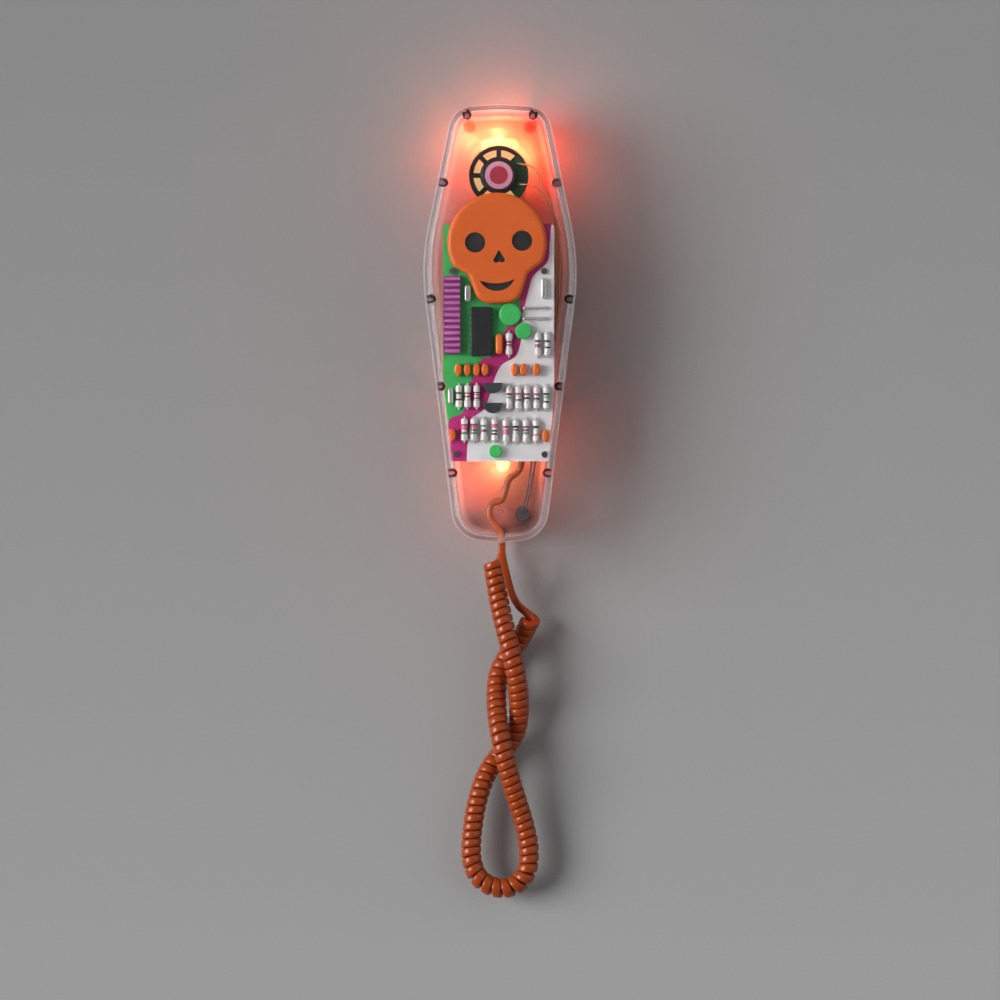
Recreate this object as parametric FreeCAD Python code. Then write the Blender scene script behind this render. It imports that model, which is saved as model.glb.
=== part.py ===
"""Clear coffin-shaped wall telephone with a skull, a lit base and a curly cord.

The phone hangs on a wall: the wall is the plane Y = 0, the viewer is at -Y and +Z is up.
The pieces are drawn in a plan frame that lies flat, with x to the right, y up the coffin and
h the height off the wall. The last step turns each piece into the row frame.
Lengths are millimetres.
"""

import FreeCAD
import Part

import math
import os

V = FreeCAD.Vector

# Coffin outline at the handset's parting line: places and corner radii
TOP_Y = 109.9
TOP_CORNER_Y = 108.2
TOP_HALF = 23.9
SHOULDER_Y = 30.0
SHOULDER_HALF = 39.9
BOTTOM_CORNER_Y = -107.2
BOTTOM_HALF = 22.9
BOTTOM_Y = -109.9
BOW_RADIUS = 70.0
TOP_RADIUS = 13.0
SHOULDER_RADIUS = 112.0
BOTTOM_RADIUS = 16.0

# Depths off the wall and walls
PLATE_T = 2.5
BASE_DEPTH = 20.0
SEAT_GAP = 0.3
FACE_DEPTH = 11.7
COVER_DEPTH = 18.0
WALL = 1.8
BASE_INSET = 4.0
BASE_DRAFT = 1.5
FACE_DRAFT = 0.8
COVER_DRAFT = 1.2
COVER_EDGE = 3.0
FACE_EDGE = 1.2
BASE_EDGE = 3.0
FLAT_GAP = 0.3

FACE_H = BASE_DEPTH + SEAT_GAP
PART_H = FACE_H + FACE_DEPTH
BACK_H = PART_H + COVER_DEPTH
FLOOR_H = FACE_H + WALL

# Handset case screws: (half spacing, y) of each pair
CASE_PAIRS = [(16.4, 103.8), (28.1, 70.2), (34.2, 12.2), (29.3, -31.3), (23.6, -74.5)]
CASE_POST_R = 2.3
CASE_SHANK_R = 0.9
CASE_HEAD_R = 1.5
CASE_HEAD_T = 1.6
CASE_HEAD_SINK = 1.0
CASE_GRIP = 9.0
CASE_CLEAR = 0.2
SLOT_SPAN = 1.3
SLOT_WIDTH = 0.3
SLOT_SINK = 0.6

# Circuit board
BOARD_TOP_Y = 49.3
BOARD_BOTTOM_Y = -68.7
BOARD_LEFT = -28.4
BOARD_RIGHT = 27.0
BOARD_TAPER_Y = -36.0
BOARD_LEFT_TAPER = 3.3
BOARD_RIGHT_TAPER = 1.9
BOARD_CORNER = 1.0
BOARD_BEND = 4.0
BOARD_T = 1.6
BOARD_RISE = 17.7
BOARD_SCREWS = [(-23.75, 26.25), (22.0, 26.25), (-21.75, -65.0), (22.25, -65.3)]
BOARD_POST_R = 3.0
BOARD_SHANK_R = 1.1
BOARD_HEAD_R = 1.6
BOARD_HEAD_T = 1.5
BOARD_GRIP = 7.0
BOARD_H = FACE_H + BOARD_RISE + BOARD_T

# Skull plate
SKULL_X = -1.5
SKULL_Y = 40.5
SKULL_R = 24.8
SKULL_TILT = 2.0
SKULL_T = 4.5
SKULL_EDGE = 2.2
CHEEK_HALF = 22.2
CHEEK_DROP = 11.0
PINCH_HALF = 14.9
PINCH_DROP = 15.8
JAW_HALF = 10.0
JAW_DROP = 30.6
JAW_RADIUS = 9.0
CHEEK_RADIUS = 2.0
EYE_SPREAD = 11.7
EYE_RISE = 0.3
EYE_SHIFT = 0.8
EYE_R = 5.1
NOSE_DROP = 3.6
NOSE_LENGTH = 6.6
NOSE_HALF = 2.9
SMILE_HALF = 8.8
SMILE_SHIFT = -0.6
SMILE_DROP = 18.5
SMILE_SAG = 5.8
SMILE_BAND = 3.8
INLAY_SINK = 1.2
INLAY_GAP = 0.15

# Receiver
EAR_X = -0.6
EAR_Y = 74.6
EAR_R = 18.5
EAR_DROP = 4.0
RECEIVER_R = 15.0
RECEIVER_GAP = 0.3
RECEIVER_RIM = 2.3
RECEIVER_DEPTH = 5.0
RECEIVER_SPOKES = 8
SPOKE_W = 2.4
FRAME_T = 1.2
MAGNET_R = 8.6
MAGNET_T = 4.5
LABEL_R = 6.9
LABEL_T = 0.3
CONE_T = 0.6
HUB_R = 9.4
TERMINAL_ANGLE = 96.0
TERMINAL_START = -52.0
TERMINAL_T = 1.0
SOLDER_R = 1.1
SOLDER_SHARES = (0.3, 0.85)
SOUND_HOLE_R = 0.9
SOUND_RING_R = 6.0
SOUND_HOLES = 8

# Mouthpiece and microphone
MOUTH_X = 4.0
MOUTH_Y = -90.0
MOUTH_R = 15.0
MIC_X = 11.25
MIC_Y = -95.0
MIC_R = 3.0
MIC_T = 4.5
BOOT_WALL = 0.9
BOOT_T = 5.5
MIC_SKIN = 0.5

# Keypad
KEY_PITCH_X = 12.5
KEY_PITCH_Y = 11.5
KEY_W = 9.6
KEY_L = 7.6
KEY_R = 2.0
KEY_PROUD = 2.0
KEY_TRAVEL = 1.5
KEY_EDGE = 0.8
KEY_FLANGE = 0.9
KEY_FLANGE_T = 1.0
KEY_GAP = 0.25
KEYPAD_Y = -7.0
MAT_T = 1.4
MAT_MARGIN = 1.2
KEYBOARD_T = 1.6
KEY_NAMES = ["1", "2", "3", "4", "5", "6", "7", "8", "9", "star", "0", "hash"]
KEY_COLUMNS = 3

# Hanger clip and how the handset lifts off it
LIFT_ANGLE = 35.0
CLIP_Y = 36.0
CLIP_W = 12.0
CLIP_T = 2.6
CLIP_REACH = 6.5
CLIP_GAP = 0.5
CLIP_FLANGE = 2.0

# Cradle pockets
POCKET_GAP = 1.1
POCKET_FLOOR = 6.0
POCKET_WALL = 1.5
POCKET_LIFT = 4.5
WELL_MARGIN = 3.0
WELL_FLOOR = 4.5
WELL_CORNER = 4.0

# Base fixings
BASE_POSTS = [(15.0, 99.0), (20.0, 45.0), (20.0, -46.0)]
BASE_POST_R = 3.0
BASE_SHANK_R = 1.2
BASE_HEAD_R = 2.3
BASE_HEAD_T = 1.4
BASE_GRIP = 7.0
KEYHOLE_SPACING = 82.6
KEYHOLE_R = 4.5
KEYHOLE_SLOT_R = 2.4
KEYHOLE_DROP = 7.0

# Hook plunger and spring
PLUNGER_Y = 61.5
PLUNGER_R = 3.0
PLUNGER_CLEAR = 0.1
PLUNGER_TRAVEL = 4.0
COLLAR_R = 5.0
COLLAR_T = 1.4
GUIDE_R = 1.8
SPRING_R = 3.3
SPRING_WIRE = 0.7
SPRING_TURNS = 3
SWITCH_W = 8.0
SWITCH_L = 15.0
SWITCH_T = 5.0
SWITCH_CORNER = 0.5
SWITCH_GROOVE_W = 1.0
SWITCH_GROOVE_T = 0.6

# Line board, jack, sounder, ringer switch
LINE_BOARD = (-19.0, -12.0, 19.0, 26.0)
LINE_BOARD_RISE = 3.5
JACK_Y = -22.0
JACK_W = 13.5
JACK_L = 12.0
JACK_T = 11.0
JACK_MOUTH_W = 9.8
JACK_MOUTH_L = 7.0
JACK_MOUTH_DEEP = 9.0
JACK_FLANGE = 1.2
JACK_MOUTH_DROP = 0.8
JACK_LATCH_W = 5.9
JACK_LATCH_L = 2.4
SOUNDER_X = -13.0
SOUNDER_Y = -62.0
SOUNDER_R = 8.5
SOUNDER_T = 6.5
SOUNDER_EDGE = 1.0
SOUNDER_HOLE_R = 1.5
SOUNDER_HOLE_T = 2.0
RINGER_Y = -12.0
RINGER_H = 9.0
RINGER_TRAVEL = 4.0
RINGER_KNOB_L = 4.0
RINGER_KNOB_T = 2.8
RINGER_PROUD = 1.6
RINGER_BODY_W = 6.0
RINGER_BODY_L = 14.0
RINGER_GAP = 0.3
RINGER_GRIP_W = 0.5

# Lamps
LAMP_R = 3.2
LAMP_L = 18.0
LAMP_RISE = 1.8
LAMP_PINCH_L = 3.0
LAMP_PINCH_R = 1.9
UPPER_LAMP = (0.0, 90.5)
LOWER_LAMP = (1.5, -64.5)
HOLDER_L = 4.0
HOLDER_W = 9.0

# Cord: wire, coil and the points of its routes (x, y, h)
CORD_D = 3.4
COIL_R = 3.0
COIL_PITCH = 4.05
COIL_START = -math.pi / 2
CORD_GAP = 0.4
ARC_SHARE = 0.45
STUB_RUN = 1.5
LEAD_STRAIGHT = 4.0
AXIS_STEPS = 3000
CORD_X = 1.0
CORD_BASE_H = 7.5
BUSH_R = 3.6
BUSH_L = 4.0
BUSH_COLLAR = 1.0
BUSH_COLLAR_L = 1.5
CORD_POST = (0.25, -94.3)
CORD_POST_R = 3.6
CORD_POST_TOP_R = 2.6
CORD_POST_BORE = 2.0
CORD_POST_BORE_END = 1.0
CORD_POST_DEEP = 8.0
COIL_ROUTE = [
    (-3.5, -119.5, 15.5), (-2.0, -130.5, 15.5), (0.5, -144.0, 17.0), (3.7, -157.0, 19.0),
    (6.8, -169.0, 19.5), (9.0, -181.0, 17.0), (9.8, -192.0, 13.0), (9.0, -202.0, 9.5),
    (5.5, -210.0, 7.0), (-0.5, -216.5, 6.5), (-5.8, -223.5, 8.0), (-10.0, -233.5, 10.0),
    (-12.8, -245.5, 11.0), (-14.4, -258.0, 11.0), (-14.6, -269.5, 11.0), (-10.6, -278.8, 11.0),
    (-2.0, -283.4, 11.0), (7.4, -282.6, 11.0), (13.9, -275.6, 11.0), (15.0, -264.0, 11.0),
    (12.5, -251.5, 11.5), (8.6, -239.0, 14.0), (4.8, -227.0, 17.5), (2.0, -215.5, 19.5),
    (0.0, -205.5, 19.0), (-1.6, -195.0, 14.5), (-2.0, -184.0, 9.5), (-0.8, -174.5, 6.5),
    (3.2, -167.0, 5.6), (8.5, -160.5, 6.5), (12.4, -154.5, 9.0), (15.4, -148.0, 12.5),
]
HANDSET_LEAD = [
    (1.7, -118.2, 31.2), (2.8, -122.9, 29.4), (4.2, -128.7, 26.0), (6.2, -136.0, 19.5),
]
BASE_LEAD = [(1.7, -116.4, 8.4)]
INNER_CORD_TOP = (10.8, -60.0)
INNER_CORD_SAG = 1.0
INNER_CORD = [
    (10.9, -68.4), (9.6, -73.6), (4.2, -77.4), (2.6, -83.0), (1.2, -88.4), (-4.6, -89.4),
    (-5.8, -95.4), (-2.6, -100.6), (1.0, -104.6),
]

# Thin wires: places (x, y, share of the rise from the first end to the board's underside)
WIRE_R = 0.4
SPEAKER_RISE = 0.25
SPEAKER_WIRES = [
    [(17.6, 69.5, 0.45), (23.4, 61.0, 0.6), (29.2, 50.0, 0.65), (30.0, 36.0, 0.7), (29.8, 18.0, 0.7),
     (28.6, -1.0, 0.7), (25.2, -9.5, 0.72), (25.2, -9.5, 1.0)],
    [(16.6, 79.0, 0.45), (22.3, 67.0, 0.55), (27.4, 54.5, 0.6), (28.4, 40.0, 0.62), (28.2, 20.0, 0.62),
     (27.2, 2.0, 0.62), (24.2, -5.5, 0.66), (24.2, -5.5, 1.0)],
]
MIC_WIRES = [
    [(10.8, -94.4, 0.0), (10.8, -94.4, 0.2), (12.2, -90.0, 0.5), (13.8, -83.0, 0.66), (15.8, -70.0, 0.8),
     (16.2, -61.8, 0.82), (16.2, -61.8, 1.0)],
    [(12.4, -94.4, 0.0), (12.4, -94.4, 0.2), (13.8, -90.0, 0.46), (15.4, -83.0, 0.6), (17.5, -70.0, 0.76),
     (17.8, -61.8, 0.8), (17.8, -61.8, 1.0)],
]

# Board components: places (x, y) and sizes
RESISTOR_L = 11.0
RESISTOR_R = 1.75
RESISTOR_WAIST = 1.4
RESISTOR_CAP = 3.1
RESISTOR_EDGE = 0.5
RESISTOR_LEAD = 1.4
RESISTOR_LEAD_R = 0.35
RESISTORS = (
    [(4.5, -10.2), (18.85, -10.5), (23.65, -10.5)]
    + [(x, -36.3) for x in (-20.5, -16.2, -11.6)]
    + [(x, -37.0) for x in (4.5, 9.2, 13.5, 18.3, 23.1)]
    + [(x, -52.9) for x in (-17.8, -13.1, -8.0, -2.75)]
    + [(x, -53.5) for x in (3.0, 7.85, 13.0, 18.0)]
)
DISC_CAPS = (
    [(x, -23.0) for x in (-20.9, -16.3, -11.7, -7.5, 7.2, 11.7, 18.2)]
    + [(-23.9, -55.6), (22.7, -56.0)]
)
DISC_CAP_W = 3.5
DISC_CAP_L = 6.2
DISC_CAP_T = 4.2
GREEN_DISCS = [(5.0, 4.5, 5.6, 3.0), (11.65, -3.75, 4.1, 4.0), (-2.25, -63.75, 3.2, 3.6)]
CHIP = (-9.2, -4.0)
CHIP_W = 10.4
CHIP_L = 24.6
CHIP_T = 3.6
CHIP_LIFT = 0.6
CHIP_CORNER = 0.8
CHIP_CHAMFER = 0.4
CHIP_NOTCH_R = 1.3
CHIP_NOTCH_T = 1.1
CHIP_DIMPLE_R = 1.5
CHIP_DIMPLE_T = 0.3
CHIP_DIMPLE_DROP = 4.5
CHIP_PINS = 9
PIN_W = 1.2
PIN_T = 0.6
CHOKE_X = -23.9
CHOKE_GAP = 0.85
CHOKE_W = 8.6
CHOKE_L = 39.0
CHOKE_T = 3.4
CHOKE_RIBS = 13
CHOKE_CORNER = 1.0
RIB_INSET = 0.5
RIB_SHARE = 0.42
FILM_CAP = (-0.5, -10.2)
FILM_CAP_SIZE = (3.4, 10.0, 4.4)
FILM_CAP_CORNER = 1.5
FILM_CAP_EDGE = 1.0
TRANSISTORS = [(-3.6, -29.6), (-3.6, -39.6)]
TRANSISTOR_R = 4.9
TRANSISTOR_T = 4.6
TRANSISTOR_BELLY = 5.1
TRANSISTOR_EDGE = 0.5
JUMPERS = [(17.8, 7.75), (17.8, 2.5)]
JUMPER_L = 11.4
JUMPER_R = 0.8
CRYSTALS = [(-16.15, 15.0, 2.8, 8.2), (21.75, 17.5, 2.2, 10.0), (-24.6, -36.2, 2.4, 8.0)]
CRYSTAL_T = 3.4
CRYSTAL_FLAT = 0.12
CRYSTAL_EDGE = 0.5

coffin = [
    (0.0, TOP_Y, BOW_RADIUS),
    (-TOP_HALF, TOP_CORNER_Y, TOP_RADIUS),
    (-SHOULDER_HALF, SHOULDER_Y, SHOULDER_RADIUS),
    (-BOTTOM_HALF, BOTTOM_CORNER_Y, BOTTOM_RADIUS),
    (0.0, BOTTOM_Y, BOW_RADIUS),
    (BOTTOM_HALF, BOTTOM_CORNER_Y, BOTTOM_RADIUS),
    (SHOULDER_HALF, SHOULDER_Y, SHOULDER_RADIUS),
    (TOP_HALF, TOP_CORNER_Y, TOP_RADIUS),
]


def unit(a, b):
    """Unit vector and length from a to b in the plan."""
    length = math.hypot(b[0] - a[0], b[1] - a[1])
    return (b[0] - a[0]) / length, (b[1] - a[1]) / length, length


def inset_corners(corners, inset):
    """The corners of a counter-clockwise outline moved inwards, with radii that keep it parallel."""
    moved = []
    count = len(corners)
    for i, (x, y, r) in enumerate(corners):
        ax, ay, _ = unit(corners[i - 1], corners[i])
        bx, by, _ = unit(corners[i], corners[(i + 1) % count])
        cross = ax * by - ay * bx
        turn = inset / (1 + ax * bx + ay * by)
        moved.append((x - (ay + by) * turn, y + (ax + bx) * turn, r - math.copysign(inset, cross)))
    return moved


def outline(corners, h):
    """A closed wire of straight runs and tangent arcs at height h."""
    count = len(corners)
    ends = []
    for i, (x, y, r) in enumerate(corners):
        ax, ay, _ = unit(corners[i - 1], corners[i])
        bx, by, _ = unit(corners[i], corners[(i + 1) % count])
        half = math.atan2(ax * by - ay * bx, ax * bx + ay * by) / 2
        cut = abs(r * math.tan(half))
        start = V(x - ax * cut, y - ay * cut, h)
        end = V(x + bx * cut, y + by * cut, h)
        bow = abs(r) * (1 / math.cos(half) - 1)
        dx, dy = bx - ax, by - ay
        size = math.hypot(dx, dy) or 1.0
        middle = V(x + dx / size * bow, y + dy / size * bow, h)
        ends.append((start, middle, end, cut))
    edges = []
    for i, (start, middle, end, cut) in enumerate(ends):
        if cut > 1e-6:
            edges.append(Part.Arc(start, middle, end).toShape())
        after = ends[(i + 1) % count][0]
        if end.distanceToPoint(after) > 1e-6:
            edges.append(Part.LineSegment(end, after).toShape())
    return Part.Wire(edges)


def prism(corners, low, high):
    return Part.Face(outline(corners, low)).extrude(V(0, 0, high - low))


def taper(corners, low_inset, low, high_inset, high):
    wires = [outline(inset_corners(corners, low_inset), low)]
    wires.append(outline(inset_corners(corners, high_inset), high))
    return Part.makeLoft(wires, True, True)


def cylinder(x, y, r, low, high):
    return Part.makeCylinder(r, high - low, V(x, y, low))


def block(x, y, width, length, low, high, r=0.0):
    """A box centred at x, y with rounded upright corners."""
    corners = [(x + sx * width / 2, y + sy * length / 2, r)
               for sx, sy in ((1, 1), (-1, 1), (-1, -1), (1, -1))]
    return prism(corners, low, high)


def obround(x, y, r, run, low, high):
    """A round pocket drawn out upwards by run."""
    upper = cylinder(x, y + run, r, low, high)
    middle = block(x, y + run / 2, 2 * r, run, low, high)
    return cylinder(x, y, r, low, high).fuse([upper, middle]).removeSplitter()


def round_edges(shape, h, r):
    """Fillet the edges that lie flat at height h."""
    flat = [e for e in shape.Edges
            if abs(e.BoundBox.ZMin - h) < 1e-6 and abs(e.BoundBox.ZMax - h) < 1e-6]
    return shape.makeFillet(r, flat)


def fused(first, others):
    return first.fuse(others).removeSplitter()


def case_places():
    return [(side * x, y) for x, y in CASE_PAIRS for side in (-1, 1)]


def base_places():
    return [(side * x, y) for x, y in BASE_POSTS for side in (-1, 1)]


def key_places():
    places = {}
    rows = len(KEY_NAMES) // KEY_COLUMNS
    for i, name in enumerate(KEY_NAMES):
        column = i % KEY_COLUMNS - (KEY_COLUMNS - 1) / 2
        row = (rows - 1) / 2 - i // KEY_COLUMNS
        # The keys face the wall, so the first column lies at the right seen from the front.
        places[name] = (-column * KEY_PITCH_X, KEYPAD_Y + row * KEY_PITCH_Y)
    return places


keypad_w = (KEY_COLUMNS - 1) * KEY_PITCH_X + KEY_W
keypad_l = (len(KEY_NAMES) // KEY_COLUMNS - 1) * KEY_PITCH_Y + KEY_L
key_flange_low = FLOOR_H + FLAT_GAP
mat_low = key_flange_low + KEY_FLANGE_T + KEY_TRAVEL + FLAT_GAP
keyboard_low = mat_low + MAT_T
keyboard_w = keypad_w + 2 * MAT_MARGIN
keyboard_l = keypad_l + 2 * MAT_MARGIN + 2 * BOARD_POST_R
keyboard_posts = [(sx * (keyboard_w / 2 - BOARD_POST_R), KEYPAD_Y + sy * (keyboard_l / 2 + FLAT_GAP))
                  for sx in (-1, 1) for sy in (-1, 1)]
ear_face_h = FACE_H - EAR_DROP
lift_y = math.sin(math.radians(LIFT_ANGLE))
lift_h = math.cos(math.radians(LIFT_ANGLE))
pocket_h = BASE_DEPTH - POCKET_FLOOR
pocket_under_h = pocket_h - POCKET_WALL
well_h = BASE_DEPTH - WELL_FLOOR


def slanted_tab(gap, low, reach):
    """The clip's tab, leaning the way that the handset lifts, from height low and reach along it."""
    run = CLIP_T / 2 + gap
    foot = CLIP_Y + (low - BASE_DEPTH) * lift_y / lift_h
    tip = foot + reach * lift_y
    top = low + reach * lift_h
    half = CLIP_W / 2 + gap
    side = [V(-half, foot - run, low), V(-half, foot + run, low), V(-half, tip + run, top),
            V(-half, tip - run, top), V(-half, foot - run, low)]
    return Part.Face(Part.makePolygon(side)).extrude(V(2 * half, 0, 0))


def cord_hole(r):
    """A cutter through the bottom wall at the parting line."""
    low = BOTTOM_Y - WALL
    return Part.makeCylinder(r, 4 * WALL, V(CORD_X, low, PART_H), V(0, 1, 0))


def handset_back_cover():
    outside = taper(coffin, 0, PART_H, COVER_DRAFT, BACK_H)
    outside = round_edges(outside, BACK_H, COVER_EDGE)
    hollow = taper(coffin, WALL, PART_H, WALL + COVER_DRAFT, BACK_H - WALL)
    hollow = round_edges(hollow, BACK_H - WALL, COVER_EDGE - WALL / 2)
    shell = outside.cut(hollow)
    posts = [cylinder(x, y, CASE_POST_R, PART_H, BACK_H - WALL / 2).common(outside) for x, y in case_places()]
    shell = fused(shell, posts)
    tip_h = PART_H + CASE_GRIP
    for x, y in case_places():
        shell = shell.cut(cylinder(x, y, CASE_SHANK_R, PART_H, tip_h))
    return shell.cut(cord_hole(CORD_D / 2 + FLAT_GAP))


def cord_post():
    """A tapered post with a tapered bore, which the cord goes round inside the handset."""
    low, high = ear_face_h + WALL / 2, PART_H + CORD_D
    bore_low = high - CORD_POST_DEEP
    post = Part.makeCone(CORD_POST_R, CORD_POST_TOP_R, high - low, V(*CORD_POST, low))
    bore = Part.makeCone(CORD_POST_BORE_END, CORD_POST_BORE, CORD_POST_DEEP, V(*CORD_POST, bore_low))
    return post.cut(bore)


def handset_face_cover():
    outside = taper(coffin, FACE_DRAFT, FACE_H, 0, PART_H)
    outside = round_edges(outside, FACE_H, FACE_EDGE)
    hollow = taper(coffin, WALL + FACE_DRAFT, FLOOR_H, WALL, PART_H)
    shell = outside.cut(hollow)
    board_under = BOARD_H - BOARD_T
    well_top = ear_face_h + WALL + RECEIVER_DEPTH + FRAME_T
    added = [cylinder(x, y, CASE_POST_R, FACE_H + WALL / 2, PART_H).common(outside) for x, y in case_places()]
    added += [cylinder(x, y, BOARD_POST_R, FLOOR_H - WALL / 2, board_under) for x, y in BOARD_SCREWS]
    added += [cylinder(x, y, BOARD_POST_R, FLOOR_H - WALL / 2, keyboard_low) for x, y in keyboard_posts]
    added.append(cylinder(EAR_X, EAR_Y, EAR_R, ear_face_h, well_top))
    added.append(cylinder(MOUTH_X, MOUTH_Y, MOUTH_R, ear_face_h, FLOOR_H))
    shell = fused(shell, added)
    well_r = RECEIVER_R + RECEIVER_GAP
    shell = shell.cut(cylinder(EAR_X, EAR_Y, well_r, ear_face_h + WALL, well_top))
    shell = shell.cut(cylinder(MOUTH_X, MOUTH_Y, MOUTH_R - WALL, ear_face_h + WALL, FLOOR_H))
    shell = fused(shell, [cord_post()])
    cuts = [cylinder(x, y, CASE_SHANK_R + CASE_CLEAR, FACE_H, PART_H) for x, y in case_places()]
    seat = FACE_H + CASE_HEAD_SINK + CASE_HEAD_T
    cuts += [cylinder(x, y, CASE_HEAD_R + CASE_CLEAR, FACE_H, seat) for x, y in case_places()]
    cuts += [cylinder(x, y, BOARD_SHANK_R, board_under - BOARD_GRIP, board_under) for x, y in BOARD_SCREWS]
    cuts += [cylinder(x, y, BOARD_SHANK_R, keyboard_low - BOARD_GRIP / 2, keyboard_low)
             for x, y in keyboard_posts]
    cuts.append(cylinder(EAR_X, EAR_Y, SOUND_HOLE_R, ear_face_h, ear_face_h + WALL))
    for i in range(SOUND_HOLES):
        angle = 2 * math.pi * i / SOUND_HOLES
        dx, dy = math.cos(angle), math.sin(angle)
        ear = (EAR_X + SOUND_RING_R * dx, EAR_Y + SOUND_RING_R * dy)
        mouth = (MIC_X + MIC_R / 2 * dx, MIC_Y + MIC_R / 2 * dy)
        cuts.append(cylinder(*ear, SOUND_HOLE_R, ear_face_h, ear_face_h + WALL))
        if i % 2 == 0:
            cuts.append(cylinder(*mouth, SOUND_HOLE_R / 2, ear_face_h, ear_face_h + WALL))
    for x, y in key_places().values():
        cuts.append(block(x, y, KEY_W + 2 * KEY_GAP, KEY_L + 2 * KEY_GAP, FACE_H, FLOOR_H, KEY_R))
    cuts.append(slanted_tab(CLIP_GAP, FACE_H - 2 * WALL, CLIP_REACH + 4 * WALL))
    cuts.append(cord_hole(CORD_D / 2 + FLAT_GAP))
    return shell.cut(cuts)


def screw(x, y, head_r, head_low, head_t, shank_r, tip):
    """A round-headed screw whose shank runs from the head to height tip."""
    head = cylinder(x, y, head_r, head_low, head_low + head_t)
    start = head_low + head_t / 2
    slot = block(x, y, head_r * SLOT_SPAN, head_r * SLOT_WIDTH, head_low, head_low + head_t)
    if tip > start:
        slot.translate(V(0, 0, -head_t * SLOT_SINK))
        shank = cylinder(x, y, shank_r, start, tip)
    else:
        slot.translate(V(0, 0, head_t * SLOT_SINK))
        shank = cylinder(x, y, shank_r, tip, start)
    return head.fuse(shank).removeSplitter().cut(slot)


def handset_screws():
    low = FACE_H + CASE_HEAD_SINK
    tip = PART_H + CASE_GRIP
    return [screw(x, y, CASE_HEAD_R, low, CASE_HEAD_T, CASE_SHANK_R, tip) for x, y in case_places()]


def board_corners():
    return [
        (BOARD_RIGHT, BOARD_TOP_Y, BOARD_CORNER), (BOARD_LEFT, BOARD_TOP_Y, BOARD_CORNER),
        (BOARD_LEFT, BOARD_TAPER_Y, BOARD_BEND),
        (BOARD_LEFT + BOARD_LEFT_TAPER, BOARD_BOTTOM_Y, BOARD_CORNER),
        (BOARD_RIGHT - BOARD_RIGHT_TAPER, BOARD_BOTTOM_Y, BOARD_CORNER),
        (BOARD_RIGHT, BOARD_TAPER_Y, BOARD_BEND),
    ]


def circuit_board():
    """The main board, with its screw holes and with notches that clear the case posts."""
    board = prism(board_corners(), BOARD_H - BOARD_T, BOARD_H)
    places = [(x, y, BOARD_SHANK_R + CASE_CLEAR) for x, y in BOARD_SCREWS]
    places += [(x, y, CASE_POST_R + FLAT_GAP) for x, y in case_places()]
    return board.cut([cylinder(x, y, r, BOARD_H - BOARD_T, BOARD_H) for x, y, r in places])


def board_screws():
    under = BOARD_H - BOARD_T
    screws = [screw(x, y, BOARD_HEAD_R, BOARD_H, BOARD_HEAD_T, BOARD_SHANK_R, under - BOARD_GRIP)
              for x, y in BOARD_SCREWS]
    top = keyboard_low + KEYBOARD_T
    screws += [screw(x, y, BOARD_HEAD_R, top, BOARD_HEAD_T, BOARD_SHANK_R, keyboard_low - BOARD_GRIP / 2)
               for x, y in keyboard_posts]
    return screws


def tilted(shape):
    shape.rotate(V(0, 0, 0), V(0, 0, 1), SKULL_TILT)
    shape.translate(V(SKULL_X, SKULL_Y, 0))
    return shape


def skull_outline():
    """The skull about its own centre: a round crown, cheeks that pinch in, and a jaw."""
    crown_end = math.sqrt(SKULL_R ** 2 - CHEEK_DROP ** 2)
    lower = [
        (-crown_end, -CHEEK_DROP, 0.0), (-PINCH_HALF, -PINCH_DROP, CHEEK_RADIUS),
        (-JAW_HALF, -JAW_DROP, JAW_RADIUS), (JAW_HALF, -JAW_DROP, JAW_RADIUS),
        (PINCH_HALF, -PINCH_DROP, CHEEK_RADIUS), (crown_end, -CHEEK_DROP, 0.0),
    ]
    jaw = prism(lower, BOARD_H, BOARD_H + SKULL_T)
    crown = cylinder(0, 0, SKULL_R, BOARD_H, BOARD_H + SKULL_T)
    below = block(0, -CHEEK_DROP - SKULL_R, 4 * SKULL_R, 2 * SKULL_R, BOARD_H, BOARD_H + SKULL_T)
    return crown.cut(below), jaw


def smile(gap, low, high):
    """A crescent: a deep arc closed by a flatter one."""
    half = SMILE_HALF - gap
    top = -SMILE_DROP
    ends = V(-half, top - gap, low), V(half, top - gap, low)
    deep = Part.Arc(ends[0], V(0, top - SMILE_SAG + gap, low), ends[1]).toShape()
    flat = Part.Arc(ends[1], V(0, top - SMILE_SAG + SMILE_BAND - gap, low), ends[0]).toShape()
    return Part.Face(Part.Wire([deep, flat])).extrude(V(0, 0, high - low))


def nose(gap, low, high):
    """Two teardrops that meet at the top."""
    r = NOSE_HALF / 2 - gap
    base = -NOSE_DROP - NOSE_LENGTH + NOSE_HALF / 2
    lobes = []
    for side in (-1, 1):
        x = side * NOSE_HALF / 2
        corners = [(side * gap / 2, -NOSE_DROP - gap, 0.0), (x - r, base, 0.0), (x + r, base, 0.0)]
        lobes.append(prism(corners, low, high))
        lobes.append(cylinder(x, base, r, low, high))
    bridge = block(0, base + gap / 2, NOSE_HALF / 2, NOSE_HALF / 2, low, high)
    return fused(bridge, lobes)


def features(gap, low, high):
    """The eyes and nose, a little to the right of the skull's middle, and the smile to the left of it."""
    eyes = [cylinder(EYE_SHIFT + side * EYE_SPREAD, EYE_RISE, EYE_R - gap, low, high) for side in (-1, 1)]
    middle = nose(gap, low, high).translated(V(EYE_SHIFT, 0, 0))
    mouth = smile(gap, low, high).translated(V(SMILE_SHIFT, 0, 0))
    return eyes + [middle, mouth]


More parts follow.
